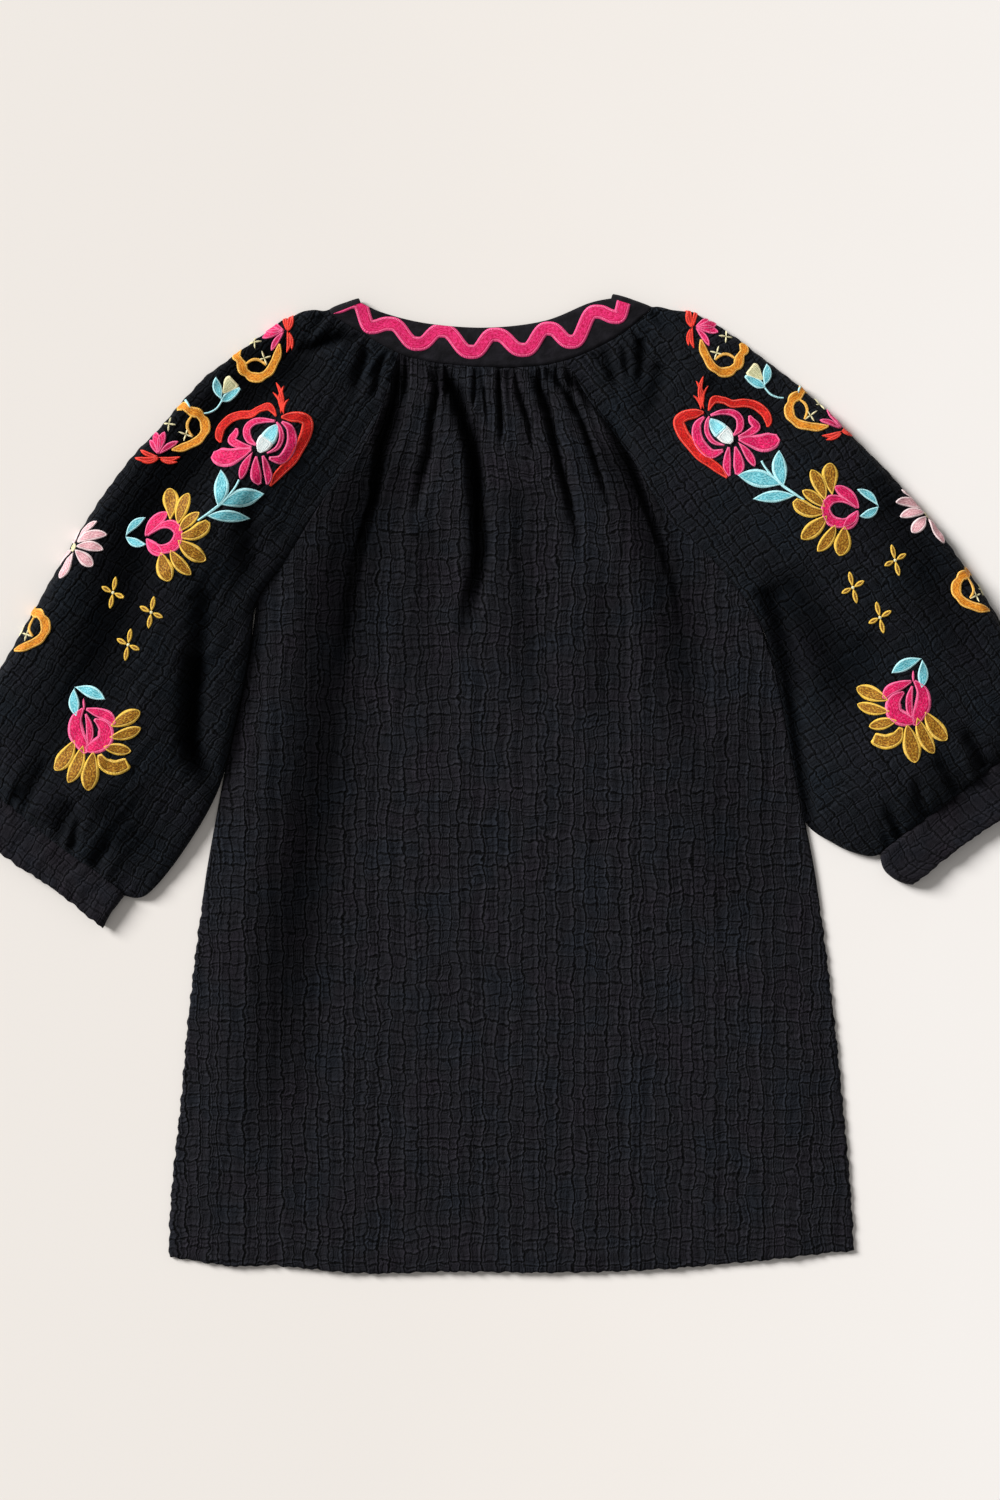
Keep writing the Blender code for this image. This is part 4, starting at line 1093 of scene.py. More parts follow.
class Cloth:
    """A sheet that other pieces are sewn on: its unrolled plan and its surface."""

    def __init__(self, points, normals, flat):
        quads = grid_quads(*points.shape[:2])
        self.triangles = np.vstack([quads[:, [0, 1, 2]], quads[:, [0, 2, 3]]])
        self.points, self.normals = points.reshape(-1, 3), normals.reshape(-1, 3)
        self.flat = flat.reshape(-1, 2)
        level = np.column_stack([self.flat, np.zeros(len(self.flat))])
        self.tree = BVHTree.FromPolygons(level.tolist(), self.triangles.tolist())

    def lay(self, spots, heights):
        """Points of the plan carried to the cloth's surface and raised off it."""
        found = [self.tree.find_nearest(Vector((x, y, 0.0))) for x, y in spots]
        p = np.array([hit[0][:2] for hit in found])
        corner = self.triangles[[hit[2] for hit in found]]
        a, b, c = (self.flat[corner[:, i]] for i in range(3))
        area = np.cross(b - a, c - a)
        area = np.where(np.abs(area) < 1e-9, 1e-9, area)
        wb = np.clip(np.cross(p - a, c - a) / area, 0, 1)
        wc = np.clip(np.cross(b - a, p - a) / area, 0, 1)
        weights = np.stack([1 - wb - wc, wb, wc], -1)[..., None]
        at = (self.points[corner] * weights).sum(1)
        up = unit((self.normals[corner] * weights).sum(1))
        return at + up * np.asarray(heights)[:, None]


# The sheets that are sewn on, as their operators lay them.
CLOTHS = {}


# Materials


CREASE_PROFILE = ((0.0, 0.0), (0.045, 0.06), (0.1, 0.78), (0.15, 0.8), (0.26, 0.56), (0.38, 0.5))
TEAL_SHARES = (0.86, 1.02, 1.1)
PLUM_SHARES = (1.13, 0.98, 1.05)
GAUZE_YARNS = (0.00062, 0.0007)
PLAIN_YARNS = (0.0009, 0.0009)
SATIN_PITCH = 0.0008


def tinted(colour, shares):
    return tuple(part * share for part, share in zip(colour, shares))


class Nodes:
    """A material's node tree, with short ways to add and link its nodes."""

    def __init__(self, name):
        self.material = bpy.data.materials.new(name)
        self.material.use_nodes = True
        self.tree = self.material.node_tree
        self.shader = self.tree.nodes["Principled BSDF"]

    def add(self, kind, inputs=(), **settings):
        """A node with its settings, and with its inputs set or linked."""
        node = self.tree.nodes.new(kind)
        for key, value in settings.items():
            setattr(node, key, value)
        for key, value in dict(inputs).items():
            self.feed(node.inputs[key], value)
        return node

    def feed(self, socket, value):
        if isinstance(value, bpy.types.NodeSocket):
            self.tree.links.new(value, socket)
        else:
            socket.default_value = value

    def surface(self, inputs):
        """Sets or links the shader's own inputs."""
        for key, value in inputs.items():
            self.feed(self.shader.inputs[key], value)

    def uv_map(self, name):
        return self.add("ShaderNodeUVMap", uv_map=name).outputs[0]

    def attribute(self, name):
        return self.add("ShaderNodeAttribute", attribute_name=name).outputs["Fac"]

    def split(self, vector):
        return self.add("ShaderNodeSeparateXYZ", {0: vector}).outputs

    def split_colour(self, colour):
        return self.add("ShaderNodeSeparateColor", {0: colour}).outputs

    def math(self, operation, a, b=0.0, c=None):
        values = {0: a, 1: b} if c is None else {0: a, 1: b, 2: c}
        return self.add("ShaderNodeMath", values, operation=operation).outputs[0]

    def stripes(self, place, pitch):
        """A wave across a coordinate, -1 to 1."""
        return self.math("SINE", self.math("MULTIPLY", place, 2 * math.pi / pitch))

    def weave(self, lay, pitch_across, pitch_along):
        """The yarns of a plain weave, crossing each other."""
        parts = self.split(lay)
        yarns = self.stripes(parts["X"], pitch_across), self.stripes(parts["Y"], pitch_along)
        return self.math("MULTIPLY", *yarns)

    def ramp(self, value, stops):
        """A value or a colour that changes through some stops."""
        node = self.add("ShaderNodeValToRGB", {0: value})
        elements = node.color_ramp.elements
        while len(elements) < len(stops):
            elements.new(0.5)
        for element, (place, colour) in zip(elements, stops):
            element.position = place
            element.color = (colour, colour, colour, 1.0) if isinstance(colour, float) else (*colour, 1.0)
        return node.outputs[0]

    def blend(self, share, a, b, kind="MIX"):
        node = self.add("ShaderNodeMix", data_type="RGBA", blend_type=kind)
        self.feed(node.inputs["Factor"], share)
        self.feed(node.inputs["A"], a if isinstance(a, bpy.types.NodeSocket) else (*a, 1.0))
        self.feed(node.inputs["B"], b if isinstance(b, bpy.types.NodeSocket) else (*b, 1.0))
        return node.outputs["Result"]

    def noise(self, where, scale, detail=2.0, roughness=0.5):
        inputs = {"Scale": scale, "Detail": detail, "Roughness": roughness, "Vector": where}
        return self.add("ShaderNodeTexNoise", inputs).outputs

    def voronoi(self, dimensions, feature, **inputs):
        kind = {"voronoi_dimensions": dimensions, "feature": feature}
        return self.add("ShaderNodeTexVoronoi", inputs, **kind).outputs

    def crease(self, place, per_unit, randomness):
        """Lines across a coordinate: a narrow groove with a raised shoulder on each side."""
        edge = self.voronoi("1D", "DISTANCE_TO_EDGE", Scale=per_unit, Randomness=randomness, W=place)
        away = self.math("MULTIPLY", edge["Distance"], 1.0 / per_unit)
        return self.math("SUBTRACT", self.ramp(away, CREASE_PROFILE), 0.5)

    def bump(self, height, distance, strength=1.0, under=None):
        inputs = {"Strength": strength, "Distance": distance, "Height": height}
        if under is not None:
            inputs["Normal"] = under
        return self.add("ShaderNodeBump", inputs).outputs[0]


def wavered(n, lay):
    """The cloth's lay, pushed about so that no crease runs straight."""
    place = lay
    for scale, push in ((40.0, 0.011), (230.0, 0.0042)):
        inputs = {0: n.noise(lay, scale)["Color"], 1: (push, push, 0.0), 2: place}
        place = n.add("ShaderNodeVectorMath", inputs, operation="MULTIPLY_ADD").outputs[0]
    return place


def gauze_cells(n, lay, place, settings):
    """How high the gauze stands between its creases, 0 to 1: coarse ones and finer ones."""
    parts = n.split(place)
    columns = n.math("MULTIPLY", parts["X"], 1.0 / settings.crease_across)
    column = n.voronoi("1D", "F1", Scale=1.0, Randomness=0.75, W=columns)
    start = n.split_colour(column["Color"])[0]
    rows = n.math("MULTIPLY", parts["Y"], 1.0 / settings.crease_along)
    rows = n.math("MULTIPLY_ADD", start, 0.5, rows)
    channels = n.split_colour(n.noise(lay, 75.0)["Color"])
    patches = [n.ramp(channel, ((0.38, 1.0), (0.62, 0.25))) for channel in channels[:3]]
    upright, level = n.crease(columns, 1.0, 0.75), n.crease(rows, 1.0, 0.7)
    fine_upright, fine_level = n.crease(columns, 2.3, 0.9), n.crease(rows, 2.1, 0.9)
    folded = n.math("MULTIPLY", upright, n.math("MULTIPLY_ADD", patches[1], 0.5, 0.6))
    folded = n.math("MULTIPLY_ADD", level, n.math("MULTIPLY_ADD", patches[0], 0.7, 0.25), folded)
    folded = n.math("MULTIPLY_ADD", fine_upright, n.math("MULTIPLY", patches[2], 0.32), folded)
    folded = n.math("MULTIPLY_ADD", fine_level, n.math("MULTIPLY", patches[1], 0.3), folded)
    return n.math("ADD", folded, 0.5)


def gauze_bumps(n, lay, place, cells, depth):
    """The gauze's relief: its cells, the small creases in them, its grain and its weave."""
    small = n.voronoi("2D", "DISTANCE_TO_EDGE", Scale=330.0, Vector=place)
    small_crease = n.ramp(small["Distance"], ((0.0, 0.0), (0.16, 1.0)))
    grain = n.noise(lay, 900.0, 3.0, 0.6)["Fac"]
    height = n.math("MULTIPLY_ADD", small_crease, 0.1, cells)
    height = n.math("MULTIPLY_ADD", grain, 0.25, height)
    return n.bump(n.weave(lay, *GAUZE_YARNS), 0.00006, 0.3, n.bump(height, depth))


def gauze_material(name, settings, black, strength=1.0):
    """Crinkled gauze: a grid of puffed cells between creases, on the cloth's own lay, with painted shade in
    its creases and folds and painted light on its cells' tops.
    """
    n = Nodes(name)
    lay = n.uv_map("lay")
    place = wavered(n, lay)
    cells = gauze_cells(n, lay, place, settings)
    tints = (0.34, tinted(black, TEAL_SHARES)), (0.5, tuple(black)), (0.68, tinted(black, PLUM_SHARES))
    hue = n.ramp(n.noise(lay, 26.0, 3.0)["Fac"], tints)
    # Painted light and shade: the colour is darker along the creases and lighter on the cells' puffed tops.
    shade = n.ramp(cells, ((0.0, 0.08), (0.28, 0.42), (0.5, 1.0), (0.68, 1.45), (1.0, 2.3)))
    colour = n.blend(strength, hue, n.blend(1.0, hue, shade, "MULTIPLY"))
    # Painted shade in the folds, crevices and tucks, read from the mesh's attribute: the colour is darkened
    # there and the specular level lowered.
    painted_shade = n.attribute("painted_shade")
    dark = n.ramp(painted_shade, ((0.0, 1.0), (0.5, 0.42), (1.0, 0.06)))
    n.surface({
        "Base Color": n.blend(1.0, colour, dark, "MULTIPLY"),
        "Normal": gauze_bumps(n, lay, place, cells, settings.crinkle_depth * strength),
        "Roughness": n.ramp(cells, ((0.2, 0.95), (0.9, 0.75))),
        "Specular IOR Level": n.ramp(painted_shade, ((0.0, 0.105), (0.8, 0.015))),
        "Sheen Weight": 0.02,
        "Sheen Roughness": 0.5,
        "Sheen Tint": (0.6, 0.62, 0.7, 1.0),
    })
    return n.material


def plain_material(name, settings):
    """The smoother cloth of the neck band: a fine weave, lightly creased."""
    n = Nodes(name)
    lay = n.uv_map("lay")
    soft = n.noise(lay, 120.0, 3.0)["Fac"]
    crease = n.noise(lay, 380.0)["Fac"]
    ripple = n.bump(n.math("MULTIPLY_ADD", crease, 0.5, soft), 0.0012, 0.6)
    black = tuple(settings.band_black)
    # Painted shade and light: the colour is darker where the soft ripple lies low and lighter where it stands
    # high.
    shades = (0.35, tinted(black, (0.55,) * 3)), (0.55, black), (0.75, tinted(black, (1.6,) * 3))
    n.surface({
        "Base Color": n.ramp(soft, shades),
        "Normal": n.bump(n.weave(lay, *PLAIN_YARNS), 0.0001, 0.6, ripple),
        "Roughness": 0.8,
        "Specular IOR Level": 0.12,
        "Sheen Weight": 0.02,
        "Sheen Roughness": 0.5,
    })
    return n.material


def thread_colour(n, stitch, stitches, satin, is_cord, groove, colours):
    """The thread's colour: its cord, lightened by a painted satin sheen, its fill with tufts and stitches in
    painted shade, and painted shade in its groove.
    """
    rim, fill, shade = colours
    tufts = n.noise(stitch, 620.0)["Fac"]
    inside = n.blend(n.ramp(stitches, ((0.42, 0.0), (0.58, 1.0))), shade, fill)
    inside = n.blend(n.ramp(tufts, ((0.52, 0.0), (0.68, 0.5))), inside, rim)
    cord = n.blend(satin, tuple(mix(a, b, 0.8) for a, b in zip(fill, rim)), rim)
    cord = n.blend(n.ramp(tufts, ((0.34, 0.4), (0.48, 0.0))), cord, shade)
    return n.blend(n.math("MULTIPLY", groove, 0.6), n.blend(is_cord, inside, cord), shade)


def thread_material(name, *colours):
    """Embroidery thread: a satin cord round the edge, a groove, and a fill of long stitches."""
    n = Nodes(name)
    stitch = n.uv_map("stitch")
    parts = n.split(stitch)
    inset = n.math("MULTIPLY", n.attribute("inset"), 0.5)
    run = n.math("MULTIPLY_ADD", n.noise(stitch, 700.0)["Fac"], 0.0009, parts["Y"])
    satin = n.math("MULTIPLY_ADD", n.stripes(run, SATIN_PITCH), 0.5, 0.5)
    spread = {"X": n.math("MULTIPLY", parts["X"], 3.2), "Y": parts["Y"]}
    stitches = n.noise(n.add("ShaderNodeCombineXYZ", spread).outputs[0], 420.0)["Fac"]
    is_cord = n.ramp(inset, ((0.58, 1.0), (0.68, 0.0)))
    groove = n.ramp(inset, ((0.5, 0.0), (0.64, 1.0), (0.78, 0.0)))
    sides = {"Factor": is_cord, "A": n.math("MULTIPLY", stitches, 1.2), "B": satin}
    relief = n.add("ShaderNodeMix", sides, data_type="FLOAT").outputs["Result"]
    n.surface({
        "Base Color": thread_colour(n, stitch, stitches, satin, is_cord, groove, colours),
        "Normal": n.bump(n.math("MULTIPLY_ADD", groove, -1.1, relief), 0.0004, 0.6),
        "Roughness": n.ramp(is_cord, ((0.0, 0.6), (1.0, 0.42))),
        "Specular IOR Level": n.ramp(is_cord, ((0.0, 0.16), (1.0, 0.42))),
        "Sheen Weight": 0.03,
        "Sheen Roughness": 0.4,
    })
    return n.material


def floor_material(name, colour):
    """A plain pale floor with a faint grain, and painted light that makes it a little lighter to the right.
    """
    n = Nodes(name)
    where = n.add("ShaderNodeTexCoord").outputs["Object"]
    towards = n.math("MULTIPLY_ADD", n.noise(where, 3.0, 3.0)["Fac"], 0.35, n.split(where)["X"])
    # Painted light: the colour is lifted towards the right and lowered a little at the left.
    pale = tuple(min(1.0, part) for part in tinted(colour, (1.03, 1.045, 1.065)))
    tones = (0.0, tinted(colour, (0.975,) * 3)), (0.22, tuple(colour)), (0.52, pale)
    n.surface({
        "Base Color": n.ramp(towards, tones),
        "Normal": n.bump(n.noise(where, 900.0)["Fac"], 0.0001, 0.2),
        "Roughness": 0.9,
        "Specular IOR Level": 0.1,
    })
    return n.material


# Each thread's cord colour, its own colour lightened by a painted satin sheen, its fill colour, and the
# colour of its painted shade.
THREADS = {
    "gold": ((1.0, 0.63, 0.08), (0.44, 0.185, 0.015), (0.14, 0.05, 0.005)),
    "orange": ((1.0, 0.56, 0.10), (0.86, 0.32, 0.022), (0.46, 0.12, 0.008)),
    "red": ((1.0, 0.06, 0.03), (0.74, 0.012, 0.009), (0.30, 0.004, 0.005)),
    "pink": ((1.0, 0.15, 0.35), (0.92, 0.014, 0.15), (0.44, 0.004, 0.055)),
    "wave_pink": ((0.97, 0.09, 0.28), (0.90, 0.030, 0.19), (0.56, 0.006, 0.075)),
    "pale_pink": ((1.0, 0.80, 0.80), (0.92, 0.54, 0.56), (0.60, 0.26, 0.30)),
    "turquoise": ((0.56, 0.97, 1.0), (0.24, 0.70, 0.78), (0.06, 0.34, 0.41)),
    "pale_blue": ((0.60, 0.95, 0.98), (0.38, 0.86, 0.93), (0.16, 0.58, 0.68)),
    "white": ((0.95, 0.97, 0.95), (0.85, 0.9, 0.88), (0.6, 0.7, 0.7)),
    "cream": ((0.98, 0.90, 0.54), (0.80, 0.78, 0.48), (0.46, 0.46, 0.24)),
}


# The embroidery's strips and petals


def petal_points(petal):
    """A petal as a strip: a bent middle line, with half widths that open and close."""
    shares = np.array(PETAL_SHARES)
    run = np.array([petal.x1 - petal.x0, petal.y1 - petal.y0])
    aside = np.array([-run[1], run[0]])
    line = np.array([petal.x0, petal.y0]) + shares[:, None] * run
    line = line + np.sin(np.pi * shares)[:, None] * aside * petal.bend
    skew = shares ** (math.log(0.5) / math.log(petal.widest))
    sharpness = LEAF_POINT if petal.thread == "turquoise" else PETAL_POINT
    half = petal.width / 2 * np.sin(np.pi * np.clip(skew, 0, 1)) ** sharpness
    return np.column_stack([line, np.maximum(half, THINNEST_PETAL)])


def strip_grid(points):
    """A strip's spots, their heights, how far each is inside the edge, and stitch lay."""
    points = np.array(points, float)
    count = max(FEWEST_STEPS, int(travelled(points[:, :2])[-1] / PETAL_STEP))
    line = follow(points, np.linspace(0, len(points) - 1, count + 1))
    tangent = unit(np.gradient(line[:, :2], axis=0))
    aside = np.column_stack([-tangent[:, 1], tangent[:, 0]])
    s = np.sin(np.linspace(-1, 1, PETAL_ACROSS + 1) * np.pi / 2)
    half = np.maximum(line[:, 2], THINNEST_STRIP)[:, None]
    spots = line[:, None, :2] + aside[:, None, :] * half[..., None] * s[None, :, None]
    along = travelled(line[:, :2])
    to_end = np.minimum(along, along[-1] - along)[:, None]
    inset = np.minimum(half * (1 - np.abs(s)), to_end)
    inset = inset * (CORD_WIDTHS[0] / np.clip(half * CORD_SHARE, *CORD_WIDTHS))
    cord = bell(inset - CORD_MIDDLE, CORD_REACH)
    height = PETAL_HEIGHT * (0.72 * smooth(inset / 0.5) + 0.28 * cord) + 0.08
    stitch = np.stack([half * s, np.repeat(along[:, None], len(s), 1)], -1)
    return spots, height, inset, stitch * MM


def place_strip(spots, place):
    """A strip's spots on the sleeve, mirrored if need be, and turned."""
    x, y = spots[..., 0] * (-1 if place.mirrored else 1), spots[..., 1]
    angle = math.radians(place.turn)
    turned_x = x * math.cos(angle) - y * math.sin(angle)
    turned_y = x * math.sin(angle) + y * math.cos(angle)
    return np.stack([turned_x + place.x, turned_y + place.y], -1)


def sew(name, cloth, pieces, materials):
    """One mesh of laid strips: (thread, spots, heights, inset, stitch, mirrored) for each."""
    points, quads, slots, insets, stitches = [], [], [], [], []
    threads = sorted({piece[0] for piece in pieces})
    offset = 0
    for thread, spots, height, inset, stitch, mirrored in pieces:
        laid = cloth.lay(spots.reshape(-1, 2), height.ravel())
        laid[:, 2] = np.maximum(laid[:, 2], THREAD_LOWEST)
        faces = grid_quads(*height.shape) + offset
        if not mirrored:
            faces = faces[:, [0, 3, 2, 1]]
        points.append(laid)
        quads.append(faces)
        slots += [threads.index(thread)] * len(faces)
        insets.append(inset.ravel())
        stitches.append(stitch.reshape(-1, 2))
        offset += height.size
    mesh = bpy.data.meshes.new(name)
    mesh.from_pydata(to_row(np.vstack(points)).tolist(), [], np.vstack(quads).tolist())
    obj = new_object(name, mesh, [materials[thread] for thread in threads])
    mesh.polygons.foreach_set("material_index", np.array(slots, np.int32))
    set_attribute(mesh, "inset", np.concatenate(insets))
    set_map(mesh, "stitch", np.vstack(stitches))
    mesh.shade_smooth()
    mesh.update()
    return obj


def get_material(name, make, *args):
    return bpy.data.materials.get(name) or make(name, *args)


def thread_materials():
    return {t: get_material("thread_" + t, thread_material, *colours) for t, colours in THREADS.items()}


# Settings, operators and panel


def colour_setting(name, description, default):
    return FloatVectorProperty(
        name=name, description=description, default=default, subtype="COLOR", size=3, min=0.0, max=1.0)


def length_setting(name, description, default, low, high):
    return FloatProperty(
        name=name, description=description, default=default, min=low, max=high, unit="LENGTH")


class BlouseSettings(bpy.types.PropertyGroup):
    """Sizes and colours of the blouse that a user would change."""

    gauze_black: colour_setting(
        "Gauze", "Colour of the crinkled gauze", (0.0088, 0.0088, 0.0114))
    # Painted shade: the sleeves are the same gauze as the body, given a darker colour.
    sleeve_shaded_black: colour_setting(
        "Sleeves' gauze", "Colour of the gauze of the sleeves", (0.0047, 0.0058, 0.0080))
    band_black: colour_setting(
        "Band and cuffs", "Colour of the plain cloth", (0.0092, 0.0084, 0.0112))
    crease_across: length_setting(
        "Crease spacing across", "Distance between the creases that run along the cloth", 0.0090, 0.004, 0.03)
    crease_along: length_setting(
        "Crease spacing along", "Distance between the creases that run across the cloth", 0.0096, 0.004, 0.03)
    crinkle_depth: length_setting(
        "Crinkle depth", "How deep the creases are", 0.0017, 0.0, 0.004)
    floor_colour: colour_setting(
        "Floor", "Colour of the plain floor", (0.90, 0.853, 0.805))


def dress(obj, node):
    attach(obj, "root")
    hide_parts(node)


def back_relief(points, u, to_band, from_ends):
    """How far the back's cloth stands off its surface, and the painted shade in its gathers' tucks."""
    waves = [(kind, gather(kind, u, to_band)) for kind in BACK_GATHERS]
    fade = smooth(to_band / GATHER_FADE) * smooth(from_ends / GATHER_END_FADE)
    gathers = sum(kind.height * wave for kind, wave in waves) * fade
    painted_tuck_shade = np.clip(-sum(kind.shade * wave for kind, wave in waves), 0.0, DARKEST_BACK_TUCK_SHADE) * fade
    raised = crumple(u, points[..., 1]) * smooth(from_ends / END_FADE) * smooth(to_band / BAND_FADE)
    return raised + gathers, painted_tuck_shade


def turn_in_back(moved, across):
    """The back with its cloth turned down at the hem, under the band and at the sides."""
    top, seam = neck_back(mix(RAGLAN_TOP_AT["left"], RAGLAN_TOP_AT["right"], across))
    hem, tuck = moved[:1] + HEM_TURN, moved[-1:] - (0.0, 0.0, BAND_TUCK_DEPTH)
    tuck[0, :, :2] += unit(top[:, :2] - seam[:, :2]) * BAND_TUCK_LENGTH
    moved = np.vstack([hem, moved, tuck])
    sides = moved[:, [0, -1]].copy()
    sides[..., 0] += (-SIDE_TURN_WIDTH, SIDE_TURN_WIDTH)
    sides[..., 2] = np.maximum(sides[..., 2] - SIDE_TURN_DEPTH, SIDE_TURN_LOWEST)
    return np.concatenate([sides[:, :1], moved, sides[:, 1:]], 1)


class BLOUSE_OT_back(bpy.types.Operator):
    """Lay the back, gathered into the neck band"""

    bl_idname = "blouse.back"
    bl_label = "Back"
    bl_options = {"REGISTER", "UNDO"}

    def execute(self, context):
        settings = context.scene.blouse
        points = back_surface()
        x, y = points[..., 0], points[..., 1]
        across = np.linspace(0, 1, points.shape[1])
        from_ends = np.minimum(across, 1 - across)
        near_band = smooth((y - GATHER_FROM) / GATHER_LENGTH)
        u = mix(x, GATHER_MIDDLE + (x - GATHER_MIDDLE) * GATHER_FULLNESS, near_band**2)
        to_band = np.linalg.norm(points - points[-1:], axis=-1)
        relief, painted_tuck_shade = back_relief(points, u, to_band, from_ends)
        # Painted shade: the colour is darkened in the folds, in the broad painted shade bands and in the
        # gathers' tucks.
        deep = 1 - (1 - painted_fold_shade(BACK_FOLDS + BACK_PAINTED_SHADE_BANDS, x, y)) * (1 - painted_tuck_shade)

        moved = points + grid_normals(points) * relief[..., None]
        moved[..., 2] = np.maximum(moved[..., 2], BACK_SHEET_LOWEST)
        to_edge = from_ends * np.ptp(x, axis=1, keepdims=True)
        is_free = smooth((FREE_SIDE_TOP - y) / SIDE_FREE_FADE)
        moved[..., 0] += np.sign(across - 0.5) * edge_bumps(y) * bell(to_edge, OUTLINE_REACH) * is_free
        moved[..., 1] += edge_bumps(x + 40.0) * bell(y - y[:1], OUTLINE_REACH)
        moved = turn_in_back(moved, across)

        u, v, deep = (np.pad(values, 1, mode="edge") for values in (u, y, deep))
        v[0] += HEM_TURN[2]
        v[-1] += BAND_TUCK_LENGTH
        u[:, [0, -1]] += (-SIDE_TURN_DEPTH, SIDE_TURN_DEPTH)
        # Painted shade along the back's turned-in sides, darkest where they run beside the sleeves.
        crevice_shade = CREVICE_PAINTED_SHADE * bell(v[:, [0, -1]] - BACK_CREVICE_SHADE[0], BACK_CREVICE_SHADE[1])
        deep[:, [0, -1]] = np.maximum(deep[:, [0, -1]], crevice_shade)
        mesh = sheet_mesh("back_cloth", to_row(moved), np.stack([u, v], -1) * MM, deep)
        gauze = get_material("crinkled_gauze", gauze_material, settings, settings.gauze_black)
        obj = new_object("back_cloth", mesh, [gauze])
        dress(obj, "back_panel")
        return {"FINISHED"}


class BLOUSE_OT_front(bpy.types.Operator):
    """Lay the front, which is under the back"""

    bl_idname = "blouse.front"
    bl_label = "Front"
    bl_options = {"REGISTER", "UNDO"}

    def execute(self, context):
        settings = context.scene.blouse
        points = front_surface()
        x, y = points[..., 0], points[..., 1]
        points[..., 2] += FRONT_CRUMPLE * np.abs(crumple(x, y))
        uv = np.stack([x, y], -1) * MM
        mesh = sheet_mesh("front_cloth", to_row(points), uv)
        gauze = get_material("crinkled_gauze", gauze_material, settings, settings.gauze_black)
        obj = new_object("front_cloth", mesh, [gauze])
        dress(obj, "front_panel")
        return {"FINISHED"}


def sleeve_freedom():
    """How freely the cloth stands off at each place round a sleeve: not at all underneath."""
    free = np.array([0.0 if part in ("under", "inner_under") else 1.0 for part, value in STATIONS])
    turning = [i for i, (part, value) in enumerate(STATIONS) if part == "fold" and value > 90]
    free[turning] = np.linspace(0.7, 0.1, len(turning))
    free[:3] = (0.0, 0.35, 0.7)
    return free


def sleeve_relief(side, points, across, along):
    """How far a sleeve's cloth stands off its surface, and the painted shade in its gathers' tucks."""
    to_cuff = np.linalg.norm(points - points[-1:], axis=-1)
    to_band = np.linalg.norm(points - points[:1], axis=-1)
    lean = across - outwards(side) * GATHER_LEAN * to_cuff
    at_cuff = gather(SLEEVE_AT_CUFF, lean, to_cuff) * smooth(to_cuff / SLEEVE_GATHER_FADE)
    at_band = gather(SLEEVE_AT_BAND, across, to_band) * smooth(to_band / SLEEVE_GATHER_FADE)
    gathers = SLEEVE_AT_CUFF.height * at_cuff + SLEEVE_AT_BAND.height * at_band
    painted_tuck_shade = -SLEEVE_AT_CUFF.shade * at_cuff - SLEEVE_AT_BAND.shade * at_band
    folded = np.array([FOLD_CRINKLE if station[0] == "fold" else 1.0 for station in STATIONS])
    raised = crumple(across, along) * folded * smooth(np.minimum(to_cuff, to_band) / SLEEVE_SEAM_FADE)
    return (raised + gathers) * sleeve_freedom(), np.clip(painted_tuck_shade, 0.0, DARKEST_SLEEVE_TUCK_SHADE)


def turn_in_sleeve(moved, places, points):
    """A sleeve with its cloth turned in at the armhole's seam and under the band."""
    armhole = moved[:, :1].copy()
    is_open = (places <= ARMPIT_ROW)[:, None]
    lowered = np.maximum(armhole[..., 2] - ARMHOLE_TURN_DEPTH, ARMHOLE_TURN_LOWEST)
    armhole[..., 2] = np.where(is_open, lowered, armhole[..., 2])
    moved = np.concatenate([armhole, moved], 1)
    tuck = moved[:1].copy()
    is_high = tuck[..., 2] > BAND_TUCK_DEPTH
    tuck[..., 2] = np.where(is_high, tuck[..., 2] - ARMHOLE_TURN_DEPTH, tuck[..., 2] + 0.5)
    is_ahead = points[0, :1, :2] - points[6, :1, :2] > 0
    tuck[..., :2] += np.where(is_ahead, NECK_TUCK_SHIFT, -NECK_TUCK_SHIFT)
    return np.vstack([tuck, moved])


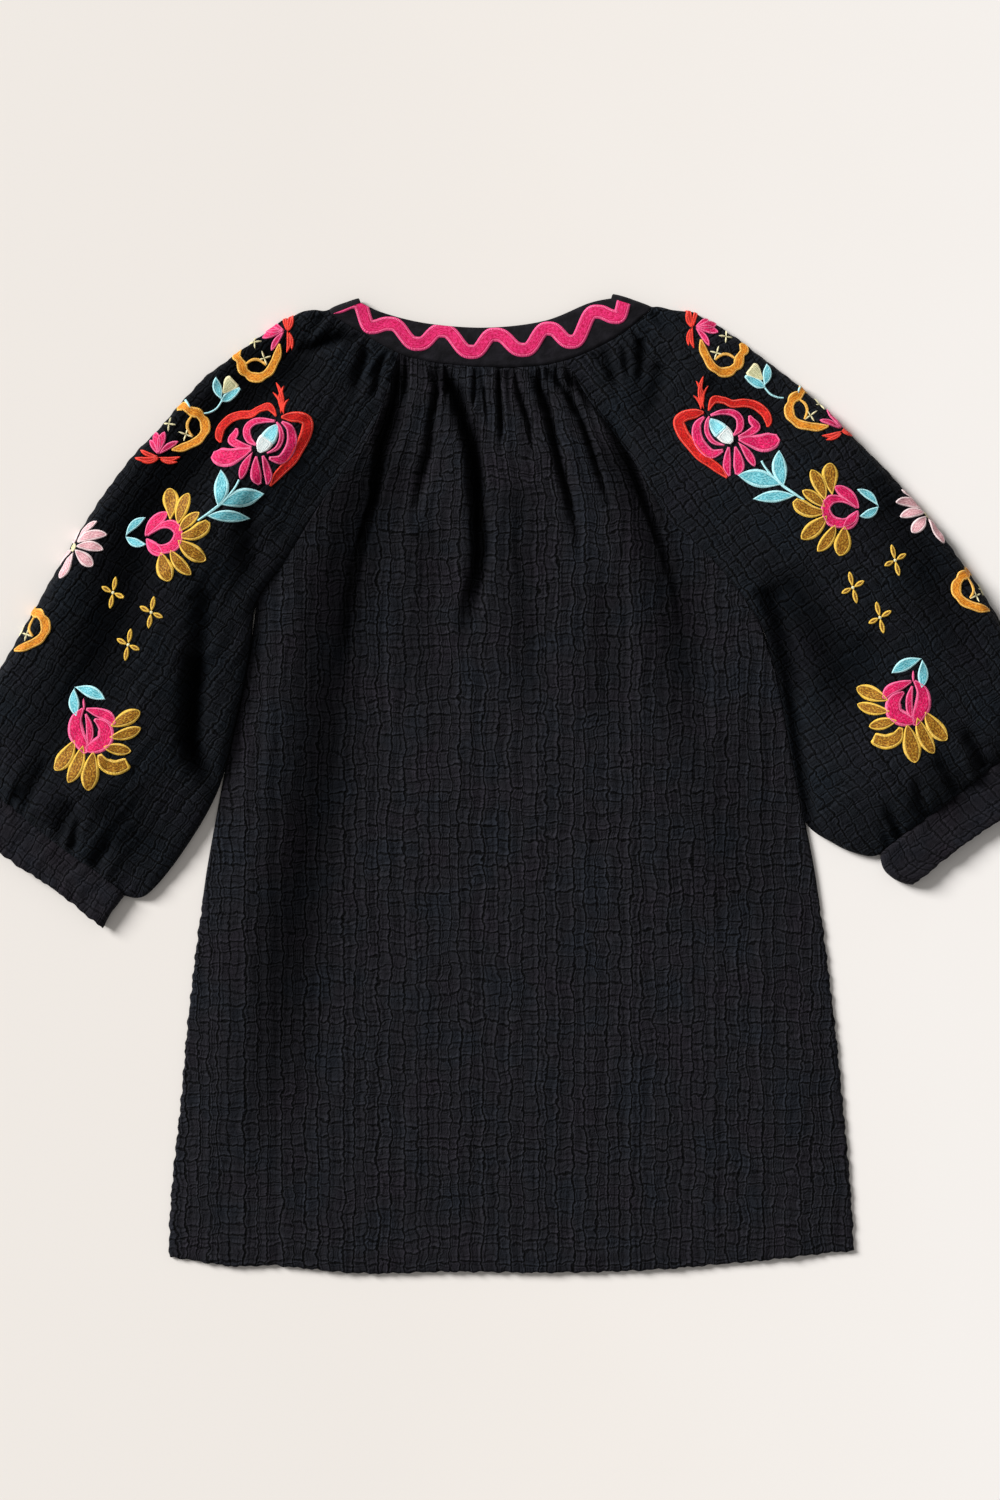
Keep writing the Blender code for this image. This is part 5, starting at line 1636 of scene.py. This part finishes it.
class BLOUSE_OT_sleeves(bpy.types.Operator):
    """Lay the two puffed sleeves, gathered at the neck and at the cuff"""

    bl_idname = "blouse.sleeves"
    bl_label = "Sleeves"
    bl_options = {"REGISTER", "UNDO"}

    def execute(self, context):
        for side in BOTH_SIDES:
            self.lay_sleeve(side, context.scene.blouse)
        return {"FINISHED"}

    def lay_sleeve(self, side, settings):
        points, flat, places = sleeve_surface(side)
        angle = math.radians(SLEEVE_AXIS_DEGREES[side])
        along = flat[..., 0] * math.sin(angle) + flat[..., 1] * math.cos(angle)
        across = flat[..., 0] * math.cos(angle) - flat[..., 1] * math.sin(angle)
        relief, painted_tuck_shade = sleeve_relief(side, points, across, along)
        # Painted shade: the colour is darkened in the folds, in the broad painted shade bands and in the
        # gathers' tucks.
        sunk = painted_fold_shade(SLEEVE_FOLDS[side] + SLEEVE_PAINTED_SHADE_BANDS[side], points[..., 0], points[..., 1])
        deep = 1 - (1 - sunk) * (1 - painted_tuck_shade)
        # Painted shade along the sleeve's inner edge near the armpit, where it meets the back.
        crevice_shade = CREVICE_PAINTED_SHADE * bell(places - SLEEVE_CREVICE_SHADE[0], SLEEVE_CREVICE_SHADE[1])
        deep[:, :2] = np.maximum(deep[:, :2], crevice_shade[:, None])
        moved = points + upward_normals(points, *SLEEVE_TOP_SPOT) * relief[..., None]
        moved[..., 2] = np.maximum(moved[..., 2], SLEEVE_SHEET_LOWEST)
        CLOTHS[side] = Cloth(moved, upward_normals(moved, *SLEEVE_TOP_SPOT), flat)

        moved = turn_in_sleeve(moved, places, points)
        before = ((1, 0), (1, 0))
        across, along, deep = (np.pad(values, before, mode="edge") for values in (across, along, deep))
        across[:, 0] -= ARMHOLE_TURN_WIDTH
        along[0] += ARMHOLE_TURN_WIDTH
        name = side + "_sleeve_cloth"
        uv = np.stack([across, along], -1) * MM
        mesh = sheet_mesh(name, to_row(moved), uv, deep, turned=side == "left")
        # The sleeves' gauze, darker than the body's as painted shade.
        gauze = get_material("sleeve_gauze", gauze_material, settings, settings.sleeve_shaded_black)
        obj = new_object(name, mesh, [gauze])
        dress(obj, side + "_sleeve")


def lay_cuff(points, u, v):
    """A cuff's cloth with its creases, its uneven edge, and its edges turned in."""
    normals = upward_normals(points, *CUFF_TOP_SPOT)
    is_top = points[..., 2] > CUFF_TOP_FROM
    raised = 0.5 * np.sin(u / 5.2 + 0.9 * np.sin(v / 7.0)) + 0.3 * np.sin(u / 2.1 + 1.2 * np.sin(v / 4.0))
    raised = raised * is_top * smooth(v / 5.0)
    puckers = CUFF_PUCKERS.height * gather(CUFF_PUCKERS, u, v) * is_top
    moved = points + normals * (raised + puckers)[..., None]
    down = unit(points[-1, 0] - points[-2, 0])[:2]
    bumps = edge_bumps(u) * 0.9 + np.sin(u / 13.0 + 1.0)
    moved[..., :2] += down * (bumps * smooth((v - 20.0) / 13.0) * is_top)[..., None]
    tucked = turned_in(moved[:1], normals[:1], 1.6, down * -CUFF_TUCK_LENGTH)
    turns = ((0.5, 0.5), (1.3, 0.0), (1.3, -9.0))
    inside = [turned_in(moved[-1:], normals[-1:], depth, down * shift) for depth, shift in turns]
    moved = np.vstack([tucked, moved, *inside])
    moved[..., 2] = np.maximum(moved[..., 2], SHEET_LOWEST)
    return moved


class BLOUSE_OT_cuffs(bpy.types.Operator):
    """Fold the two cuffs, which the sleeves are gathered into"""

    bl_idname = "blouse.cuffs"
    bl_label = "Cuffs"
    bl_options = {"REGISTER", "UNDO"}

    def execute(self, context):
        settings = context.scene.blouse
        for side in BOTH_SIDES:
            points = cuff_surface(side)
            u = np.repeat(travelled(points[0])[None, :], len(points), 0)
            v = np.linspace(0, CUFF_DEPTH, len(points))[:, None] * np.ones_like(u)
            moved = lay_cuff(points, u, v)
            u, v = (np.pad(values, ((1, 3), (0, 0)), mode="edge") for values in (u, v))
            v[0] -= CUFF_TUCK_LENGTH
            v[-3:] += [[0.6], [1.4], [10.0]]
            name = side + "_cuff_cloth"
            mesh = sheet_mesh(name, to_row(moved), np.stack([u, v], -1) * MM, turned=side == "left")
            gauze = get_material("cuff_gauze", gauze_material, settings, settings.band_black, 0.55)
            obj = new_object(name, mesh, [gauze])
            dress(obj, side + "_cuff")
        return {"FINISHED"}


def band_edges():
    """The neck band's two edges all the way round, from the left fold over the back."""
    turns = [math.radians(angle) for angle in (30, 60, 90, 120, 150)]
    pairs = [neck_back(at) for at in np.linspace(0, len(NECK) - 1, BAND_BACK_STATIONS)]
    pairs += [fold_turn("right", angle) for angle in turns]
    pairs += [neck_front(at) for at in np.linspace(1, 0, BAND_FRONT_STATIONS)]
    pairs += [fold_turn("left", angle) for angle in reversed(turns)]
    top, seam = zip(*pairs)
    return np.array(top), np.array(seam)


def lay_band(top, seam, across, u, v):
    """The band's cloth, rolled a little between its edges, which are turned in."""
    points = mix(top[:, None, :], seam[:, None, :], across[None, :, None])
    normals = upward_normals(points, *BAND_TOP_SPOT)
    arch = np.sin(np.pi * across)
    ripple = 0.25 * np.sin(u / 7.0 + v / 11.0) + 0.18 * np.sin(u / 2.9 + 1.1 * np.sin(v / 6.0))
    on_top = points[..., 2] > BAND_TOP_FROM
    moved = points + normals * ((0.9 * arch**0.6 + ripple * arch) * on_top)[..., None]
    outer, outer_up, inner, inner_up = moved[:, :1], normals[:, :1], moved[:, -1:], normals[:, -1:]
    rim = turned_in(outer, outer_up, 0.9, (top - seam)[:, None, :2] / BAND_DEPTH * 0.5)
    under = turned_in(outer, outer_up, 1.6)
    lining, tuck = turned_in(inner, inner_up, 1.7), turned_in(inner, inner_up, 1.4)
    moved = np.concatenate([lining, under, rim, moved, tuck], 1)
    moved[..., 2] = np.maximum(moved[..., 2], SHEET_LOWEST)
    return moved


class BLOUSE_OT_neck_band(bpy.types.Operator):
    """Lay the neck band round the neck"""

    bl_idname = "blouse.neck_band"
    bl_label = "Neck band"
    bl_options = {"REGISTER", "UNDO"}

    def execute(self, context):
        settings = context.scene.blouse
        top, seam = band_edges()
        across = np.linspace(0, 1, BAND_STATIONS_ACROSS)
        u = np.repeat(travelled(mix(top, seam, 0.5))[:, None], len(across), 1)
        v = np.repeat(across[None, :] * BAND_DEPTH, len(top), 0)
        moved = lay_band(top, seam, across, u, v)
        kept = moved[:BAND_BACK_STATIONS, 3:-1]
        CLOTHS["band"] = Cloth(kept, upward_normals(kept, *BAND_TOP_SPOT), kept[..., :2])

        u, v = (np.pad(values, ((0, 0), (3, 1)), mode="edge") for values in (u, v))
        v[:, :3] -= (31.0, 1.6, 0.9)
        v[:, -1] += 1.4
        uv = np.stack([u, v], -1) * MM
        closed = to_row(np.vstack([moved, moved[:1]]))
        mesh = sheet_mesh("neck_band_cloth", closed, np.vstack([uv, uv[:1] + (BAND_ROUND, 0.0)]), turned=True)
        cotton = get_material("plain_cotton", plain_material, settings)
        obj = new_object("neck_band_cloth", mesh, [cotton])
        dress(obj, "neck_band")
        return {"FINISHED"}


class BLOUSE_OT_neck_wave(bpy.types.Operator):
    """Sew the satin wave on the neck band"""

    bl_idname = "blouse.neck_wave"
    bl_label = "Neck wave"
    bl_options = {"REGISTER", "UNDO"}

    def execute(self, context):
        turns = np.array(WAVE)
        at = np.linspace(0, len(turns) - 1, WAVE_STEPS * (len(turns) - 1) + 1)
        before = np.minimum(at.astype(int), len(turns) - 2)
        share = at - before
        ease = smooth(mix(share, smooth(share), WAVE_EASE))
        x = mix(turns[before, 0], turns[before + 1, 0], share)
        y = mix(turns[before, 1], turns[before + 1, 1], ease)
        strip = strip_grid(np.column_stack([x, y, np.full(len(x), WAVE_HALF_WIDTH)]))
        obj = sew("neck_wave", CLOTHS["band"], [("wave_pink", *strip, False)], thread_materials())
        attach(obj, "root")
        return {"FINISHED"}


class BLOUSE_OT_embroidery(bpy.types.Operator):
    """Sew the flowers, leaves, buds and crosses on the sleeves"""

    bl_idname = "blouse.embroidery"
    bl_label = "Embroidery"
    bl_options = {"REGISTER", "UNDO"}

    def execute(self, context):
        materials = thread_materials()
        seen = {}
        for place in PLACES:
            pieces = []
            for item in MOTIFS[place.motif]:
                points = petal_points(item) if isinstance(item, Petal) else item.points
                spots, height, inset, stitch = strip_grid(points)
                pieces.append((item.thread, place_strip(spots, place), height, inset, stitch, place.mirrored))
            key = place.side + "_" + place.motif
            seen[key] = seen.get(key, 0) + 1
            obj = sew(f"{key}_{seen[key]}", CLOTHS[place.side], pieces, materials)
            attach(obj, "root")
        return {"FINISHED"}


class BLOUSE_OT_stage(bpy.types.Operator):
    """Set the floor, the light and the camera"""

    bl_idname = "blouse.stage"
    bl_label = "Stage"
    bl_options = {"REGISTER", "UNDO"}

    def execute(self, context):
        settings = context.scene.blouse
        bpy.ops.object.select_all(action="DESELECT")
        bpy.ops.mesh.primitive_plane_add(size=FLOOR_SIZE, location=(0.0, 0.0, 0.0))
        floor = bpy.context.object
        floor.name = floor.data.name = "floor"
        bpy.ops.object.transform_apply(location=True)
        floor.data.materials.append(get_material("pale_floor", floor_material, settings.floor_colour))
        world = bpy.data.worlds.new("studio")
        bpy.context.scene.world = world
        world.use_nodes = True
        background = world.node_tree.nodes["Background"]
        background.inputs["Color"].default_value = SKY_COLOUR
        background.inputs["Strength"].default_value = SKY_STRENGTH
        sun = bpy.data.lights.new("window", "SUN")
        sun.energy, sun.angle = WINDOW_STRENGTH, math.radians(WINDOW_DEGREES)
        light = new_object("window", sun)
        light.location = WINDOW_PLACE
        light.rotation_euler = (-light.location).to_track_quat("-Z", "Y").to_euler()
        camera = new_object("camera", bpy.data.cameras.new("camera"))
        middle = to_row(CAMERA_MIDDLE)
        camera.location = (middle[0], middle[1], CAMERA_HEIGHT)
        camera.data.lens = CAMERA_SENSOR * CAMERA_HEIGHT / PICTURE_HEIGHT
        camera.data.clip_end = CAMERA_REACH
        bpy.context.scene.camera = camera
        bpy.context.scene.view_settings.view_transform = "Standard"
        return {"FINISHED"}


class BLOUSE_PT_panel(bpy.types.Panel):
    """The blouse's pieces and settings, in the 3D view's sidebar"""

    bl_label = "Puff Sleeve Blouse"
    bl_idname = "BLOUSE_PT_panel"
    bl_space_type = "VIEW_3D"
    bl_region_type = "UI"
    bl_category = "Blouse"

    def draw(self, context):
        layout = self.layout
        for key in BlouseSettings.__annotations__:
            layout.prop(context.scene.blouse, key)
        for operator in OPERATORS:
            layout.operator(operator.bl_idname)


OPERATORS = (
    BLOUSE_OT_front,
    BLOUSE_OT_back,
    BLOUSE_OT_sleeves,
    BLOUSE_OT_cuffs,
    BLOUSE_OT_neck_band,
    BLOUSE_OT_neck_wave,
    BLOUSE_OT_embroidery,
    BLOUSE_OT_stage,
)
CLASSES = (BlouseSettings, *OPERATORS, BLOUSE_PT_panel)


def register():
    for item in CLASSES:
        bpy.utils.register_class(item)
    bpy.types.Scene.blouse = PointerProperty(type=BlouseSettings)


def unregister():
    del bpy.types.Scene.blouse
    for item in reversed(CLASSES):
        bpy.utils.unregister_class(item)


def main():
    register()
    bpy.ops.blouse.front()
    bpy.ops.blouse.back()
    bpy.ops.blouse.sleeves()
    bpy.ops.blouse.cuffs()
    bpy.ops.blouse.neck_band()
    bpy.ops.blouse.neck_wave()
    bpy.ops.blouse.embroidery()
    bpy.ops.blouse.stage()


if __name__ == "__main__":
    main()
